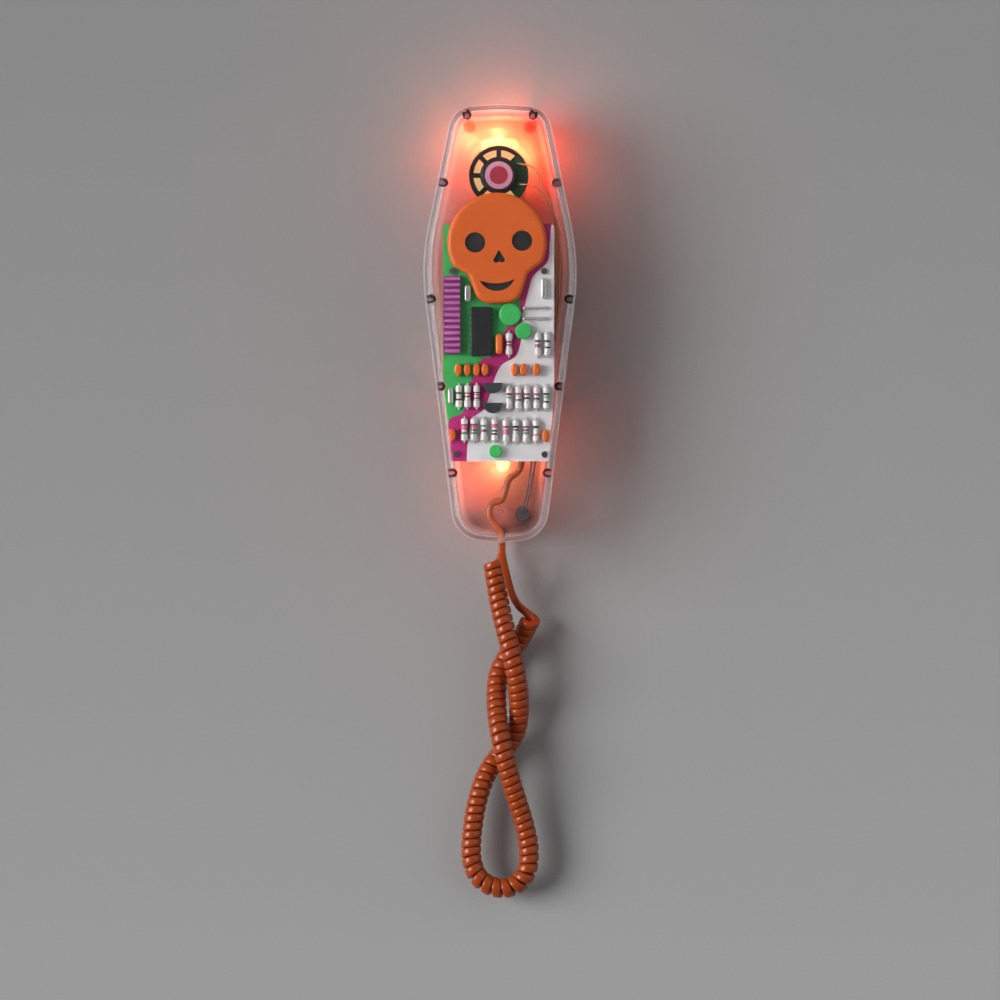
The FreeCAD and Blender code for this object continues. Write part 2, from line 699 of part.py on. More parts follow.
def skull_plate():
    crown, jaw = skull_outline()
    skull = fused(crown, [jaw])
    top = BOARD_H + SKULL_T
    cheeks = [e for e in skull.Edges
              if abs(e.BoundBox.ZLength - SKULL_T) < 1e-6 and abs(e.BoundBox.YMin + CHEEK_DROP) < 1e-3]
    if cheeks:
        skull = skull.makeFillet(CHEEK_RADIUS, cheeks)
    skull = round_edges(skull, top, SKULL_EDGE)
    skull = skull.cut(features(0.0, BOARD_H, top))
    return tilted(skull)


def skull_inlays():
    return [tilted(s) for s in features(INLAY_GAP, BOARD_H, BOARD_H + SKULL_T - INLAY_SINK)]


receiver_h = ear_face_h + WALL + FLAT_GAP
frame_top_h = receiver_h + RECEIVER_DEPTH


def receiver_frame():
    """A shallow cup with an open rim: windows between the spokes of its back."""
    cup = cylinder(EAR_X, EAR_Y, RECEIVER_R, receiver_h, frame_top_h)
    cup = round_edges(cup, frame_top_h, FRAME_T / 2)
    cup = cup.cut(cylinder(EAR_X, EAR_Y, RECEIVER_R - FRAME_T, receiver_h, frame_top_h - FRAME_T))
    ring = cylinder(EAR_X, EAR_Y, RECEIVER_R - RECEIVER_RIM, receiver_h, frame_top_h)
    ring = ring.cut(cylinder(EAR_X, EAR_Y, HUB_R, receiver_h, frame_top_h))
    for i in range(RECEIVER_SPOKES):
        spoke = block(EAR_X, EAR_Y + RECEIVER_R / 2, SPOKE_W, RECEIVER_R, receiver_h, frame_top_h)
        spoke.rotate(V(EAR_X, EAR_Y, 0), V(0, 0, 1), 360 * i / RECEIVER_SPOKES)
        ring = ring.cut(spoke)
    return cup.cut(ring)


def receiver_magnet():
    magnet = cylinder(EAR_X, EAR_Y, MAGNET_R, frame_top_h, frame_top_h + MAGNET_T)
    return round_edges(magnet, frame_top_h + MAGNET_T, FRAME_T / 2)


def receiver_label():
    low = frame_top_h + MAGNET_T
    return cylinder(EAR_X, EAR_Y, LABEL_R, low, low + LABEL_T)


def receiver_cone():
    """A thin dished diaphragm inside the cup, with its rim on the cup's mouth."""
    rim = RECEIVER_R - FRAME_T - FLAT_GAP / 2
    low = receiver_h
    rise = RECEIVER_DEPTH - FRAME_T - 2 * CONE_T
    profile = [V(0, 0, low + rise), V(HUB_R / 2, 0, low + rise), V(rim, 0, low), V(rim, 0, low + CONE_T),
               V(HUB_R / 2, 0, low + rise + CONE_T), V(0, 0, low + rise + CONE_T), V(0, 0, low + rise)]
    cone = Part.Face(Part.makePolygon(profile)).revolve(V(0, 0, 0), V(0, 0, 1), 360)
    cone.translate(V(EAR_X, EAR_Y, 0))
    return cone


def terminal_radii():
    return MAGNET_R + FLAT_GAP, RECEIVER_R - FRAME_T / 2


def solder_places():
    """The two solder points in the middle of the terminal's band."""
    r = sum(terminal_radii()) / 2
    places = []
    for share in SOLDER_SHARES:
        angle = math.radians(TERMINAL_START + share * TERMINAL_ANGLE)
        places.append((EAR_X + r * math.cos(angle), EAR_Y + r * math.sin(angle)))
    return places


def receiver_terminal():
    """A sector-shaped board on the rim with two solder points."""
    low = frame_top_h
    inner, outer = terminal_radii()
    sector = Part.makeCylinder(outer, TERMINAL_T, V(EAR_X, EAR_Y, low), V(0, 0, 1), TERMINAL_ANGLE)
    sector.rotate(V(EAR_X, EAR_Y, 0), V(0, 0, 1), TERMINAL_START)
    sector = sector.cut(cylinder(EAR_X, EAR_Y, inner, low, low + TERMINAL_T))
    above = cylinder(EAR_X, EAR_Y, outer, low + TERMINAL_T / 2, low + TERMINAL_T + SOLDER_R)
    points = [Part.makeSphere(SOLDER_R, V(x, y, low + TERMINAL_T)).common(above) for x, y in solder_places()]
    return fused(sector, points)


def microphone_capsule():
    low = ear_face_h + WALL + MIC_SKIN
    return round_edges(cylinder(MIC_X, MIC_Y, MIC_R, low, low + MIC_T), low + MIC_T, 0.4)


def microphone_boot():
    low = ear_face_h + WALL
    outer = cylinder(MIC_X, MIC_Y, MIC_R + BOOT_WALL, low, low + MIC_SKIN + BOOT_T)
    outer = round_edges(outer, low + MIC_SKIN + BOOT_T, BOOT_WALL)
    outer = outer.cut(cylinder(MIC_X, MIC_Y, MIC_R, low + MIC_SKIN, low + MIC_SKIN + MIC_T))
    return outer.cut(cylinder(MIC_X, MIC_Y, MIC_R / 2, low, low + MIC_SKIN))


def resistor(x, y):
    """A dumb-bell body along y with wires that bend down into the board."""
    h = BOARD_H + RESISTOR_R
    half = RESISTOR_L / 2
    cap, edge = RESISTOR_CAP, RESISTOR_EDGE
    line = [V(0, -half, 0), V(RESISTOR_R - edge, -half, 0), V(RESISTOR_R, -half + edge, 0),
            V(RESISTOR_R, -half + cap, 0), V(RESISTOR_WAIST, -half + cap + edge, 0)]
    line += [V(p.x, -p.y, 0) for p in reversed(line)]
    body = Part.Face(Part.makePolygon(line + line[:1])).revolve(V(0, 0, 0), V(0, 1, 0), 360)
    body.translate(V(x, y, h))
    leads = []
    for side in (-1, 1):
        start = V(x, y + side * (half - edge), h)
        end = y + side * (half + RESISTOR_LEAD - edge)
        reach = RESISTOR_LEAD
        leads.append(Part.makeCylinder(RESISTOR_LEAD_R, reach, start, V(0, side, 0)))
        leads.append(cylinder(x, end, RESISTOR_LEAD_R, BOARD_H, h))
        leads.append(Part.makeSphere(RESISTOR_LEAD_R, V(x, end, h)))
    return fused(body, leads)


def resistors():
    return [resistor(x, y) for x, y in RESISTORS]


def disc_capacitors():
    caps = []
    for x, y in DISC_CAPS:
        low, high = BOARD_H, BOARD_H + DISC_CAP_T
        face = Part.Face(Part.Wire([Part.Ellipse(V(x, y, low), DISC_CAP_L / 2, DISC_CAP_W / 2).toShape()]))
        cap = face.extrude(V(0, 0, high - low))
        cap.rotate(V(x, y, low), V(0, 0, 1), 90)
        caps.append(round_edges(cap, high, DISC_CAP_W / 4))
    return caps


def green_discs():
    discs = []
    for x, y, r, t in GREEN_DISCS:
        discs.append(round_edges(cylinder(x, y, r, BOARD_H, BOARD_H + t), BOARD_H + t, r / 5))
    return discs


def dial_chip():
    low = BOARD_H + CHIP_LIFT
    body = block(*CHIP, CHIP_W, CHIP_L, low, low + CHIP_T, CHIP_CORNER)
    high = low + CHIP_T
    body = body.makeChamfer(CHIP_CHAMFER, [e for e in body.Edges if abs(e.BoundBox.ZMin - high) < 1e-6])
    notch = cylinder(CHIP[0], CHIP[1] + CHIP_L / 2, CHIP_NOTCH_R, high - CHIP_NOTCH_T, high)
    dimple = cylinder(CHIP[0], CHIP[1] - CHIP_DIMPLE_DROP, CHIP_DIMPLE_R, high - CHIP_DIMPLE_T, high)
    return body.cut([notch, dimple])


def chip_pins():
    """L-shaped legs down both long sides."""
    pins = []
    pitch = CHIP_L / CHIP_PINS
    high = BOARD_H + CHIP_LIFT + CHIP_T / 2
    for side in (-1, 1):
        x = CHIP[0] + side * (CHIP_W + PIN_T) / 2
        for i in range(CHIP_PINS):
            y = CHIP[1] + (i - (CHIP_PINS - 1) / 2) * pitch
            pins.append(block(x, y, PIN_T, PIN_W, BOARD_H, high))
    return pins


def ribbed_choke():
    """A low block topped by a row of half-round ribs, hung below the board's upper left screw."""
    x = CHOKE_X
    y = BOARD_SCREWS[0][1] - BOARD_HEAD_R - CHOKE_GAP - CHOKE_L / 2
    body = block(x, y, CHOKE_W, CHOKE_L, BOARD_H, BOARD_H + CHOKE_T, CHOKE_CORNER)
    pitch = CHOKE_L / CHOKE_RIBS
    ribs = []
    for i in range(CHOKE_RIBS):
        start = V(x - CHOKE_W / 2 + RIB_INSET, y - CHOKE_L / 2 + (i + 0.5) * pitch, BOARD_H + CHOKE_T)
        ribs.append(Part.makeCylinder(pitch * RIB_SHARE, CHOKE_W - 2 * RIB_INSET, start, V(1, 0, 0)))
    return fused(body, ribs)


def film_capacitor():
    width, length, t = FILM_CAP_SIZE
    cap = block(*FILM_CAP, width, length, BOARD_H, BOARD_H + t, FILM_CAP_CORNER)
    return round_edges(cap, BOARD_H + t, FILM_CAP_EDGE)


def transistors():
    """Half-round cases with the flat side towards the skull."""
    cases = []
    for x, y in TRANSISTORS:
        left, right = V(x - TRANSISTOR_R, y, BOARD_H), V(x + TRANSISTOR_R, y, BOARD_H)
        belly = Part.Arc(left, V(x, y - TRANSISTOR_BELLY, BOARD_H), right).toShape()
        flat = Part.LineSegment(right, left).toShape()
        case = Part.Face(Part.Wire([belly, flat])).extrude(V(0, 0, TRANSISTOR_T))
        cases.append(round_edges(case, BOARD_H + TRANSISTOR_T, TRANSISTOR_EDGE))
    return cases


def wire_jumpers():
    wires = []
    for x, y in JUMPERS:
        half, h = JUMPER_L / 2, BOARD_H + 2 * JUMPER_R
        points = [V(x - half, y, BOARD_H), V(x - half, y, h), V(x + half, y, h), V(x + half, y, BOARD_H)]
        bar = Part.makeCylinder(JUMPER_R, JUMPER_L, points[1], V(1, 0, 0))
        ends = [cylinder(p.x, p.y, JUMPER_R, BOARD_H, h) for p in (points[0], points[3])]
        ends += [Part.makeSphere(JUMPER_R, p) for p in points[1:3]]
        wires.append(fused(bar, ends))
    return wires


def crystal_cans():
    cans = []
    for x, y, width, length in CRYSTALS:
        can = block(x, y, width, length, BOARD_H, BOARD_H + CRYSTAL_T, width / 2 - CRYSTAL_FLAT)
        cans.append(round_edges(can, BOARD_H + CRYSTAL_T, CRYSTAL_EDGE))
    return cans


def key(x, y):
    """A key cap with a flange that keeps it behind its opening."""
    low = FACE_H - KEY_PROUD
    high = key_flange_low + KEY_FLANGE_T
    cap = block(x, y, KEY_W, KEY_L, low, high, KEY_R)
    cap = round_edges(cap, low, KEY_EDGE)
    flange = block(x, y, KEY_W + 2 * KEY_FLANGE, KEY_L + 2 * KEY_FLANGE, key_flange_low, high, KEY_R)
    return fused(cap, [flange])


def keypad_mat():
    length = keypad_l + 2 * MAT_MARGIN
    return block(0, KEYPAD_Y, keyboard_w, length, mat_low, keyboard_low, KEY_R)


def keypad_board():
    high = keyboard_low + KEYBOARD_T
    length = keyboard_l + 2 * (BOARD_POST_R + FLAT_GAP)
    board = block(0, KEYPAD_Y, keyboard_w, length, keyboard_low, high, KEY_R)
    holes = [cylinder(x, y, BOARD_SHANK_R + CASE_CLEAR, keyboard_low, high) for x, y in keyboard_posts]
    return board.cut(holes)


def base_front_shell():
    """The cradle: a tray with pockets for the earpiece, the mouthpiece and the keys."""
    outside = taper(coffin, BASE_INSET, 0, BASE_INSET + BASE_DRAFT, BASE_DEPTH)
    outside = round_edges(outside, BASE_DEPTH, BASE_EDGE)
    inset = BASE_INSET + WALL
    hollow = taper(coffin, inset, 0, inset + BASE_DRAFT, BASE_DEPTH - WALL)
    shell = outside.cut(hollow)
    front = BASE_DEPTH
    ear_r, mouth_r = EAR_R + POCKET_GAP, MOUTH_R + POCKET_GAP
    well_w, well_l = keypad_w + 2 * WELL_MARGIN, keypad_l + 2 * WELL_MARGIN + POCKET_LIFT
    well_y = KEYPAD_Y + POCKET_LIFT / 2
    walls = [
        obround(EAR_X, EAR_Y, ear_r + POCKET_WALL, POCKET_LIFT, pocket_under_h, front - WALL / 2),
        obround(MOUTH_X, MOUTH_Y, mouth_r + POCKET_WALL, POCKET_LIFT, pocket_under_h, front - WALL / 2),
        block(0, well_y, well_w + 2 * POCKET_WALL, well_l + 2 * POCKET_WALL, well_h - POCKET_WALL,
              front - WALL / 2, WELL_CORNER + POCKET_WALL),
    ]
    post_low = PLATE_T
    walls += [cylinder(x, y, BASE_POST_R, post_low, front - WALL / 2) for x, y in base_places()]
    shell = fused(shell, [w.common(outside) for w in walls])
    cuts = [
        obround(EAR_X, EAR_Y, ear_r, POCKET_LIFT, pocket_h, front),
        obround(MOUTH_X, MOUTH_Y, mouth_r, POCKET_LIFT, pocket_h, front),
        block(0, well_y, well_w, well_l, well_h, front, WELL_CORNER),
        cylinder(EAR_X, PLUNGER_Y, PLUNGER_R + PLUNGER_CLEAR, pocket_under_h, pocket_h),
        block(0, CLIP_Y, CLIP_W + FLAT_GAP, CLIP_T + FLAT_GAP, front - WALL, front),
        Part.makeCylinder(BUSH_R, 4 * WALL, V(CORD_X, BOTTOM_Y, CORD_BASE_H), V(0, 1, 0)),
        block(ringer_wall_x(), RINGER_Y + RINGER_TRAVEL / 2, 4 * WALL,
              RINGER_KNOB_L + RINGER_TRAVEL + 2 * RINGER_GAP, RINGER_H - RINGER_KNOB_T / 2 - RINGER_GAP,
              RINGER_H + RINGER_KNOB_T / 2 + RINGER_GAP),
    ]
    cuts += [cylinder(x, y, BASE_SHANK_R, post_low, post_low + BASE_GRIP) for x, y in base_places()]
    return shell.cut(cuts)


def side_x(y, inset):
    """Where the coffin's straight lower side lies at height y up the coffin."""
    corners = inset_corners(coffin, inset)
    (x0, y0, _), (x1, y1, _) = corners[5], corners[6]
    return x0 + (x1 - x0) * (y - y0) / (y1 - y0)


def ringer_wall_x():
    draft = BASE_DRAFT * RINGER_H / BASE_DEPTH
    return side_x(RINGER_Y, BASE_INSET + draft + WALL / 2)


def keyhole_cut(y):
    """A round entry below a slot that the wall stud slides up into."""
    entry = cylinder(0, y - KEYHOLE_DROP, KEYHOLE_R, 0, PLATE_T)
    top = cylinder(0, y, KEYHOLE_SLOT_R, 0, PLATE_T)
    slot = block(0, y - KEYHOLE_DROP / 2, 2 * KEYHOLE_SLOT_R, KEYHOLE_DROP, 0, PLATE_T)
    return fused(entry, [top, slot])


def line_board_posts():
    left, low, right, high = LINE_BOARD
    return [(x, y) for x in (left + BOARD_POST_R, right - BOARD_POST_R)
            for y in (low + BOARD_POST_R, high - BOARD_POST_R)]


def base_back_plate():
    """A plate inside the shell's rim, with standoffs for the line board."""
    plate = prism(inset_corners(coffin, BASE_INSET + WALL + FLAT_GAP), 0, PLATE_T)
    rise = PLATE_T + LINE_BOARD_RISE
    plate = fused(plate, [cylinder(x, y, BOARD_POST_R, PLATE_T, rise) for x, y in line_board_posts()])
    cuts = [keyhole_cut(side * KEYHOLE_SPACING / 2) for side in (-1, 1)]
    for x, y in base_places():
        cuts.append(cylinder(x, y, BASE_SHANK_R + CASE_CLEAR, 0, PLATE_T))
        cuts.append(cylinder(x, y, BASE_HEAD_R + CASE_CLEAR, 0, BASE_HEAD_T))
    cuts += [cylinder(x, y, BOARD_SHANK_R, PLATE_T, rise) for x, y in line_board_posts()]
    cuts.append(block(0, JACK_Y, JACK_W + FLAT_GAP, JACK_L + FLAT_GAP, 0, PLATE_T))
    return plate.cut(cuts)


def base_screws():
    screws = [screw(x, y, BASE_HEAD_R, 0, BASE_HEAD_T, BASE_SHANK_R, PLATE_T + BASE_GRIP)
              for x, y in base_places()]
    top = PLATE_T + LINE_BOARD_RISE + BOARD_T
    screws += [screw(x, y, BOARD_HEAD_R, top, BOARD_HEAD_T, BOARD_SHANK_R, PLATE_T)
               for x, y in line_board_posts()]
    return screws


def line_board():
    left, low, right, high = LINE_BOARD
    h = PLATE_T + LINE_BOARD_RISE
    board = block((left + right) / 2, (low + high) / 2, right - left, high - low, h, h + BOARD_T, 1.0)
    holes = [cylinder(x, y, BOARD_SHANK_R + CASE_CLEAR, h, h + BOARD_T) for x, y in line_board_posts()]
    return board.cut(holes)


def line_jack():
    """A modular socket that faces the wall, held by a flange inside the plate."""
    body = block(0, JACK_Y, JACK_W, JACK_L, 0, JACK_T)
    width, length = JACK_W + 2 * JACK_FLANGE, JACK_L + 2 * JACK_FLANGE
    flange = block(0, JACK_Y, width, length, PLATE_T, PLATE_T + JACK_FLANGE)
    body = fused(body, [flange])
    mouth = block(0, JACK_Y - JACK_MOUTH_DROP, JACK_MOUTH_W, JACK_MOUTH_L, 0, JACK_MOUTH_DEEP)
    latch = block(0, JACK_Y + JACK_MOUTH_L / 2, JACK_LATCH_W, JACK_LATCH_L, 0, JACK_MOUTH_DEEP)
    return body.cut([mouth, latch])


def ringer_sounder():
    low, high = PLATE_T, PLATE_T + SOUNDER_T
    case = round_edges(cylinder(SOUNDER_X, SOUNDER_Y, SOUNDER_R, low, high), high, SOUNDER_EDGE)
    return case.cut(cylinder(SOUNDER_X, SOUNDER_Y, SOUNDER_HOLE_R, high - SOUNDER_HOLE_T, high))


def hanger_clip():
    """A reversible tab: a flange under the cradle's face, a stem through it and the slanted tab."""
    under = BASE_DEPTH - WALL
    flange = block(0, CLIP_Y, CLIP_W + 2 * CLIP_FLANGE, CLIP_T + 2 * CLIP_FLANGE, under - WALL, under)
    stem = block(0, CLIP_Y, CLIP_W, CLIP_T, under - WALL / 2, BASE_DEPTH)
    return fused(flange, [stem, slanted_tab(0.0, BASE_DEPTH, CLIP_REACH)])


collar_top_h = pocket_under_h - PLUNGER_TRAVEL - FLAT_GAP
collar_low_h = collar_top_h - COLLAR_T


def hook_plunger():
    tip = ear_face_h - FLAT_GAP
    stem = cylinder(EAR_X, PLUNGER_Y, PLUNGER_R, collar_low_h, tip)
    stem = round_edges(stem, tip, PLUNGER_R / 3)
    collar = cylinder(EAR_X, PLUNGER_Y, COLLAR_R, collar_low_h, collar_top_h)
    guide = cylinder(EAR_X, PLUNGER_Y, GUIDE_R, PLATE_T + FLAT_GAP, collar_low_h)
    return fused(stem, [collar, guide])


def hook_spring():
    """A compression spring between the plate and the plunger's collar."""
    low = PLATE_T + SPRING_WIRE / 2 + FLAT_GAP / 2
    high = collar_low_h - SPRING_WIRE / 2 - FLAT_GAP / 2
    helix = Part.makeHelix((high - low) / SPRING_TURNS, high - low, SPRING_R)
    helix.translate(V(EAR_X, PLUNGER_Y, low))
    start = helix.Edges[0].valueAt(helix.Edges[0].FirstParameter)
    along = helix.Edges[0].tangentAt(helix.Edges[0].FirstParameter)
    ring = Part.Wire([Part.Circle(start, along, SPRING_WIRE / 2).toShape()])
    return Part.Wire(helix.Edges).makePipeShell([ring], True, True)


def hook_switch():
    x = EAR_X + COLLAR_R + FLAT_GAP + SWITCH_W / 2
    body = block(x, PLUNGER_Y, SWITCH_W, SWITCH_L, PLATE_T, PLATE_T + SWITCH_T, SWITCH_CORNER)
    high = PLATE_T + SWITCH_T
    return body.cut(block(x, PLUNGER_Y, SWITCH_W, SWITCH_GROOVE_W, high - SWITCH_GROOVE_T, high))


def ringer_switch():
    inner = ringer_wall_x() - WALL / 2 - RINGER_GAP - RINGER_BODY_W / 2 - WALL
    high = RINGER_H + RINGER_KNOB_T
    middle = RINGER_Y + RINGER_TRAVEL / 2
    return block(inner, middle, RINGER_BODY_W, RINGER_BODY_L, PLATE_T, high, SWITCH_CORNER)


def ringer_knob():
    wall = ringer_wall_x()
    start = wall - WALL / 2 - RINGER_GAP - WALL
    end = wall + WALL / 2 + RINGER_PROUD
    low, high = RINGER_H - RINGER_KNOB_T / 2, RINGER_H + RINGER_KNOB_T / 2
    knob = block((start + end) / 2, RINGER_Y, end - start - RINGER_GAP, RINGER_KNOB_L, low, high)
    places = [RINGER_Y + i * RINGER_KNOB_L / 4 for i in (-1, 0, 1)]
    return knob.cut([block(end, y, RINGER_PROUD, RINGER_GRIP_W, low, high) for y in places])


def lamp(x, y, along):
    """A small glass bulb with a rounded nose and a pinched foot."""
    h = PLATE_T + LAMP_RISE + LAMP_R
    start = V(x, y, h) - along * (LAMP_L / 2)
    tube = Part.makeCylinder(LAMP_R, LAMP_L - LAMP_R - LAMP_PINCH_L, start + along * LAMP_PINCH_L, along)
    nose = Part.makeSphere(LAMP_R, start + along * (LAMP_L - LAMP_R))
    foot = Part.makeCone(LAMP_PINCH_R, LAMP_R, LAMP_PINCH_L, start, along)
    return fused(tube, [nose, foot])


def lamp_holder(x, y, along):
    """A saddle under the lamp's tube."""
    h = PLATE_T + LAMP_RISE + LAMP_R
    if abs(along.x) > 0.5:
        saddle = block(x, y, HOLDER_L, HOLDER_W, PLATE_T, h)
    else:
        saddle = block(x, y, HOLDER_W, HOLDER_L, PLATE_T, h)
    start = V(x, y, h) - along * HOLDER_L
    return saddle.cut(Part.makeCylinder(LAMP_R + FLAT_GAP / 2, 2 * HOLDER_L, start, along))


RIGHT, DOWN = V(1, 0, 0), V(0, -1, 0)


def lamp_holders():
    return [lamp_holder(*UPPER_LAMP, RIGHT), lamp_holder(*LOWER_LAMP, DOWN)]


def route_wire(points):
    """Straight runs with an arc at each point as large as its two runs allow; returns wire and radii."""
    points = [V(*p) for p in points]
    edges, radii = [], []
    last = points[0]
    for before, at, after in zip(points, points[1:], points[2:]):
        into, out = at - before, after - at
        shorter = min(into.Length, out.Length)
        half = into.getAngle(out) / 2
        cut = ARC_SHARE * shorter
        radii.append(cut / math.tan(half))
        into.normalize()
        out.normalize()
        start, end = at - into * cut, at + out * cut
        bow = radii[-1] * (1 / math.cos(half) - 1)
        inward = out - into
        inward.normalize()
        if start.distanceToPoint(last) > 1e-6:
            edges.append(Part.LineSegment(last, start).toShape())
        edges.append(Part.Arc(start, at + inward * bow, end).toShape())
        last = end
    edges.append(Part.LineSegment(last, points[-1]).toShape())
    return Part.Wire(edges), radii


def pipe(wire, r):
    """One unbroken round tube along a wire."""
    first = wire.Edges[0]
    start = first.valueAt(first.FirstParameter)
    ring = Part.Wire([Part.Circle(start, first.tangentAt(first.FirstParameter), r).toShape()])
    shell = Part.BRepOffsetAPI.MakePipeShell(wire)
    shell.add(ring)
    shell.build()
    shell.makeSolid()
    return shell.shape()


def tube(name, points, r):
    wire, radii = route_wire(points)
    solid = pipe(wire, r)
    plain = math.pi * r * r * wire.Length
    print(name, "radii", [round(x, 1) for x in radii], "volume share", round(solid.Volume / plain, 4))
    return solid


def coil_axis():
    """Points along the middle of the coil, on a smooth curve drawn by the route."""
    count = len(COIL_ROUTE)
    knots = list(range(count - 1))
    curve = Part.BSplineCurve()
    mults = [3] + [1] * (count - 3) + [3]
    curve.buildFromPolesMultsKnots([V(*p) for p in COIL_ROUTE], mults, knots, False, 2)
    span = curve.LastParameter - curve.FirstParameter
    return [curve.value(curve.FirstParameter + span * i / AXIS_STEPS) for i in range(AXIS_STEPS + 1)]


def coil_frames():
    """Winding angle, point and cross directions along the axis; bends take fewer turns."""
    axis = coil_axis()
    side = V(0, 0, 1)
    angle = 0.0
    before = None
    frames = []
    for i, p in enumerate(axis):
        along = axis[min(i + 1, len(axis) - 1)] - axis[max(i - 1, 0)]
        along.normalize()
        side = side - along * side.dot(along)
        side.normalize()
        if i:
            run = p.distanceToPoint(axis[i - 1])
            bend = along.getAngle(before) / run
            angle += 2 * math.pi * run * (1 - COIL_R * bend) / COIL_PITCH
        frames.append((angle, p, V(side), along.cross(side)))
        before = along
    return frames


def coil_points():
    """Winding angle and centreline point of the cord, from the coil's right side to its back."""
    frames = coil_frames()
    _, _, side, other = frames[-1]
    back = V(0, 0, -1)
    wanted = math.atan2(back.dot(other), back.dot(side)) - COIL_START
    total = wanted + 2 * math.pi * round((frames[-1][0] - wanted) / (2 * math.pi))
    scale = total / frames[-1][0]
    fine = []
    for angle, p, side, other in frames:
        turned = COIL_START + angle * scale
        reach = side * (COIL_R * math.cos(turned)) + other * (COIL_R * math.sin(turned))
        fine.append((angle * scale, p + reach))
    return fine, total / (2 * math.pi)


def at_angle(fine, angle):
    """The centreline's point and direction at a winding angle."""
    low, high = 0, len(fine) - 1
    while high - low > 1:
        middle = (low + high) // 2
        if fine[middle][0] <= angle:
            low = middle
        else:
            high = middle
    (a0, p0), (a1, p1) = fine[low], fine[high]
    share = (angle - a0) / (a1 - a0)
    back, on = fine[max(low - 1, 0)][1], fine[min(high + 1, len(fine) - 1)][1]
    direction = on - back
    direction.normalize()
    return p0 + (p1 - p0) * share, direction


def arc_between(a, corner, b):
    """The arc from a to b whose end tangents meet at corner."""
    weight = a.distanceToPoint(b) / 2 / a.distanceToPoint(corner)
    middle = (a + b + corner * (2 * weight)) * (1 / (2 + 2 * weight))
    return Part.Arc(a, middle, b).toShape()


def biarc(a, ta, b, tb):
    """Two arcs from a to b that share the directions at both ends."""
    v = b - a
    t = ta + tb
    fold = 2 * (1 - ta.dot(tb))
    vt = v.dot(t)
    reach = (-vt + math.sqrt(vt * vt + fold * v.dot(v))) / fold
    q0, q1 = a + ta * reach, b - tb * reach
    joint = (q0 + q1) * 0.5
    return [arc_between(a, q0, joint), arc_between(joint, q1, b)]


def coil_wire():
    """The curly cord's centreline as arcs, with a straight stub at each end."""
    fine, turns = coil_points()
    count = round(turns * 2)
    places = [at_angle(fine, fine[-1][0] * i / count) for i in range(count + 1)]
    (first, into), (last, out) = places[0], places[-1]
    edges = [Part.LineSegment(first - into * CORD_D, first).toShape()]
    for (a, ta), (b, tb) in zip(places, places[1:]):
        edges += biarc(a, ta, b, tb)
    edges.append(Part.LineSegment(last, last + out * CORD_D).toShape())
    return Part.Wire(edges), turns, (first - into * CORD_D, into), (last + out * CORD_D, out)


def least_gap(wire, turns):
    """The smallest gap between the cord's own turns, measured on points of its centreline."""
    count = int(turns * 24)
    points = wire.discretize(Number=count)
    step = wire.Length / (count - 1)
    skip = int(2 * math.pi * COIL_R * 0.6 / step)
    cell = 2 * (COIL_R + CORD_D)
    grid = {}
    for i, p in enumerate(points):
        grid.setdefault((int(p.x // cell), int(p.y // cell), int(p.z // cell)), []).append(i)
    best = 1e9
    for (gx, gy, gz), members in grid.items():
        near = []
        for dx in (-1, 0, 1):
            for dy in (-1, 0, 1):
                for dz in (-1, 0, 1):
                    near += grid.get((gx + dx, gy + dy, gz + dz), [])
        for i in members:
            for j in near:
                if j - i > skip:
                    best = min(best, points[i].distanceToPoint(points[j]))
    return best - CORD_D


def cords():
    """The curly cord and its two leads, which meet it face to face."""
    wire, turns, base_end, handset_end = coil_wire()
    curly = pipe(wire, CORD_D / 2)
    plain = math.pi * CORD_D ** 2 / 4 * wire.Length
    gap = least_gap(wire, turns)
    print("curly_cord turns", turns, "cord length", round(wire.Length), "volume share",
          round(curly.Volume / plain, 4), "least gap", round(gap, 2))
    if gap <= CORD_GAP:
        print("curly_cord turns lie closer than", CORD_GAP)
    start, into = base_end
    lead_in = start - into * (STUB_RUN * CORD_D)
    bush_face = base_bottom_y() - FLAT_GAP
    base_points = [(CORD_X, bush_face - run, CORD_BASE_H) for run in (0, LEAD_STRAIGHT)]
    base_points += BASE_LEAD + [tuple(lead_in), tuple(start)]
    end, out = handset_end
    lead_out = end + out * (STUB_RUN * CORD_D)
    handset_points = [(CORD_X, BOTTOM_Y - run, PART_H) for run in (0, LEAD_STRAIGHT)]
    handset_points += HANDSET_LEAD + [tuple(lead_out), tuple(end)]
    print("base end", tuple(start), tuple(into), "handset end", tuple(end), tuple(out))
    return {
        "curly_cord": curly,
        "base_lead": tube("base_lead", base_points, CORD_D / 2),
        "handset_lead": tube("handset_lead", handset_points, CORD_D / 2),
    }


def base_bottom_y():
    return min(y for _, y, _ in inset_corners(coffin, BASE_INSET))


def base_cord_bush():
    """A rubber bush in the cradle's bottom wall, with a collar inside."""
    out = base_bottom_y()
    body = Part.makeCylinder(BUSH_R - CASE_CLEAR, BUSH_L, V(CORD_X, out - FLAT_GAP, CORD_BASE_H), V(0, 1, 0))
    inside = out + WALL + BASE_DRAFT
    collar_r = BUSH_R + BUSH_COLLAR
    collar = Part.makeCylinder(collar_r, BUSH_COLLAR_L, V(CORD_X, inside, CORD_BASE_H), V(0, 1, 0))
    return fused(body, [collar])


def inner_cord():
    top = [(*INNER_CORD_TOP, BOARD_H - BOARD_T), (*INNER_CORD_TOP, PART_H - INNER_CORD_SAG)]
    points = top + [(x, y, PART_H) for x, y in INNER_CORD + [(CORD_X, BOTTOM_Y)]]
    return tube("inner_cord", points, CORD_D / 2)


def lifted(route, low):
    """A wire's route from a height low up to the board's underside."""
    rise = BOARD_H - BOARD_T - low
    return [(x, y, low + share * rise) for x, y, share in route]


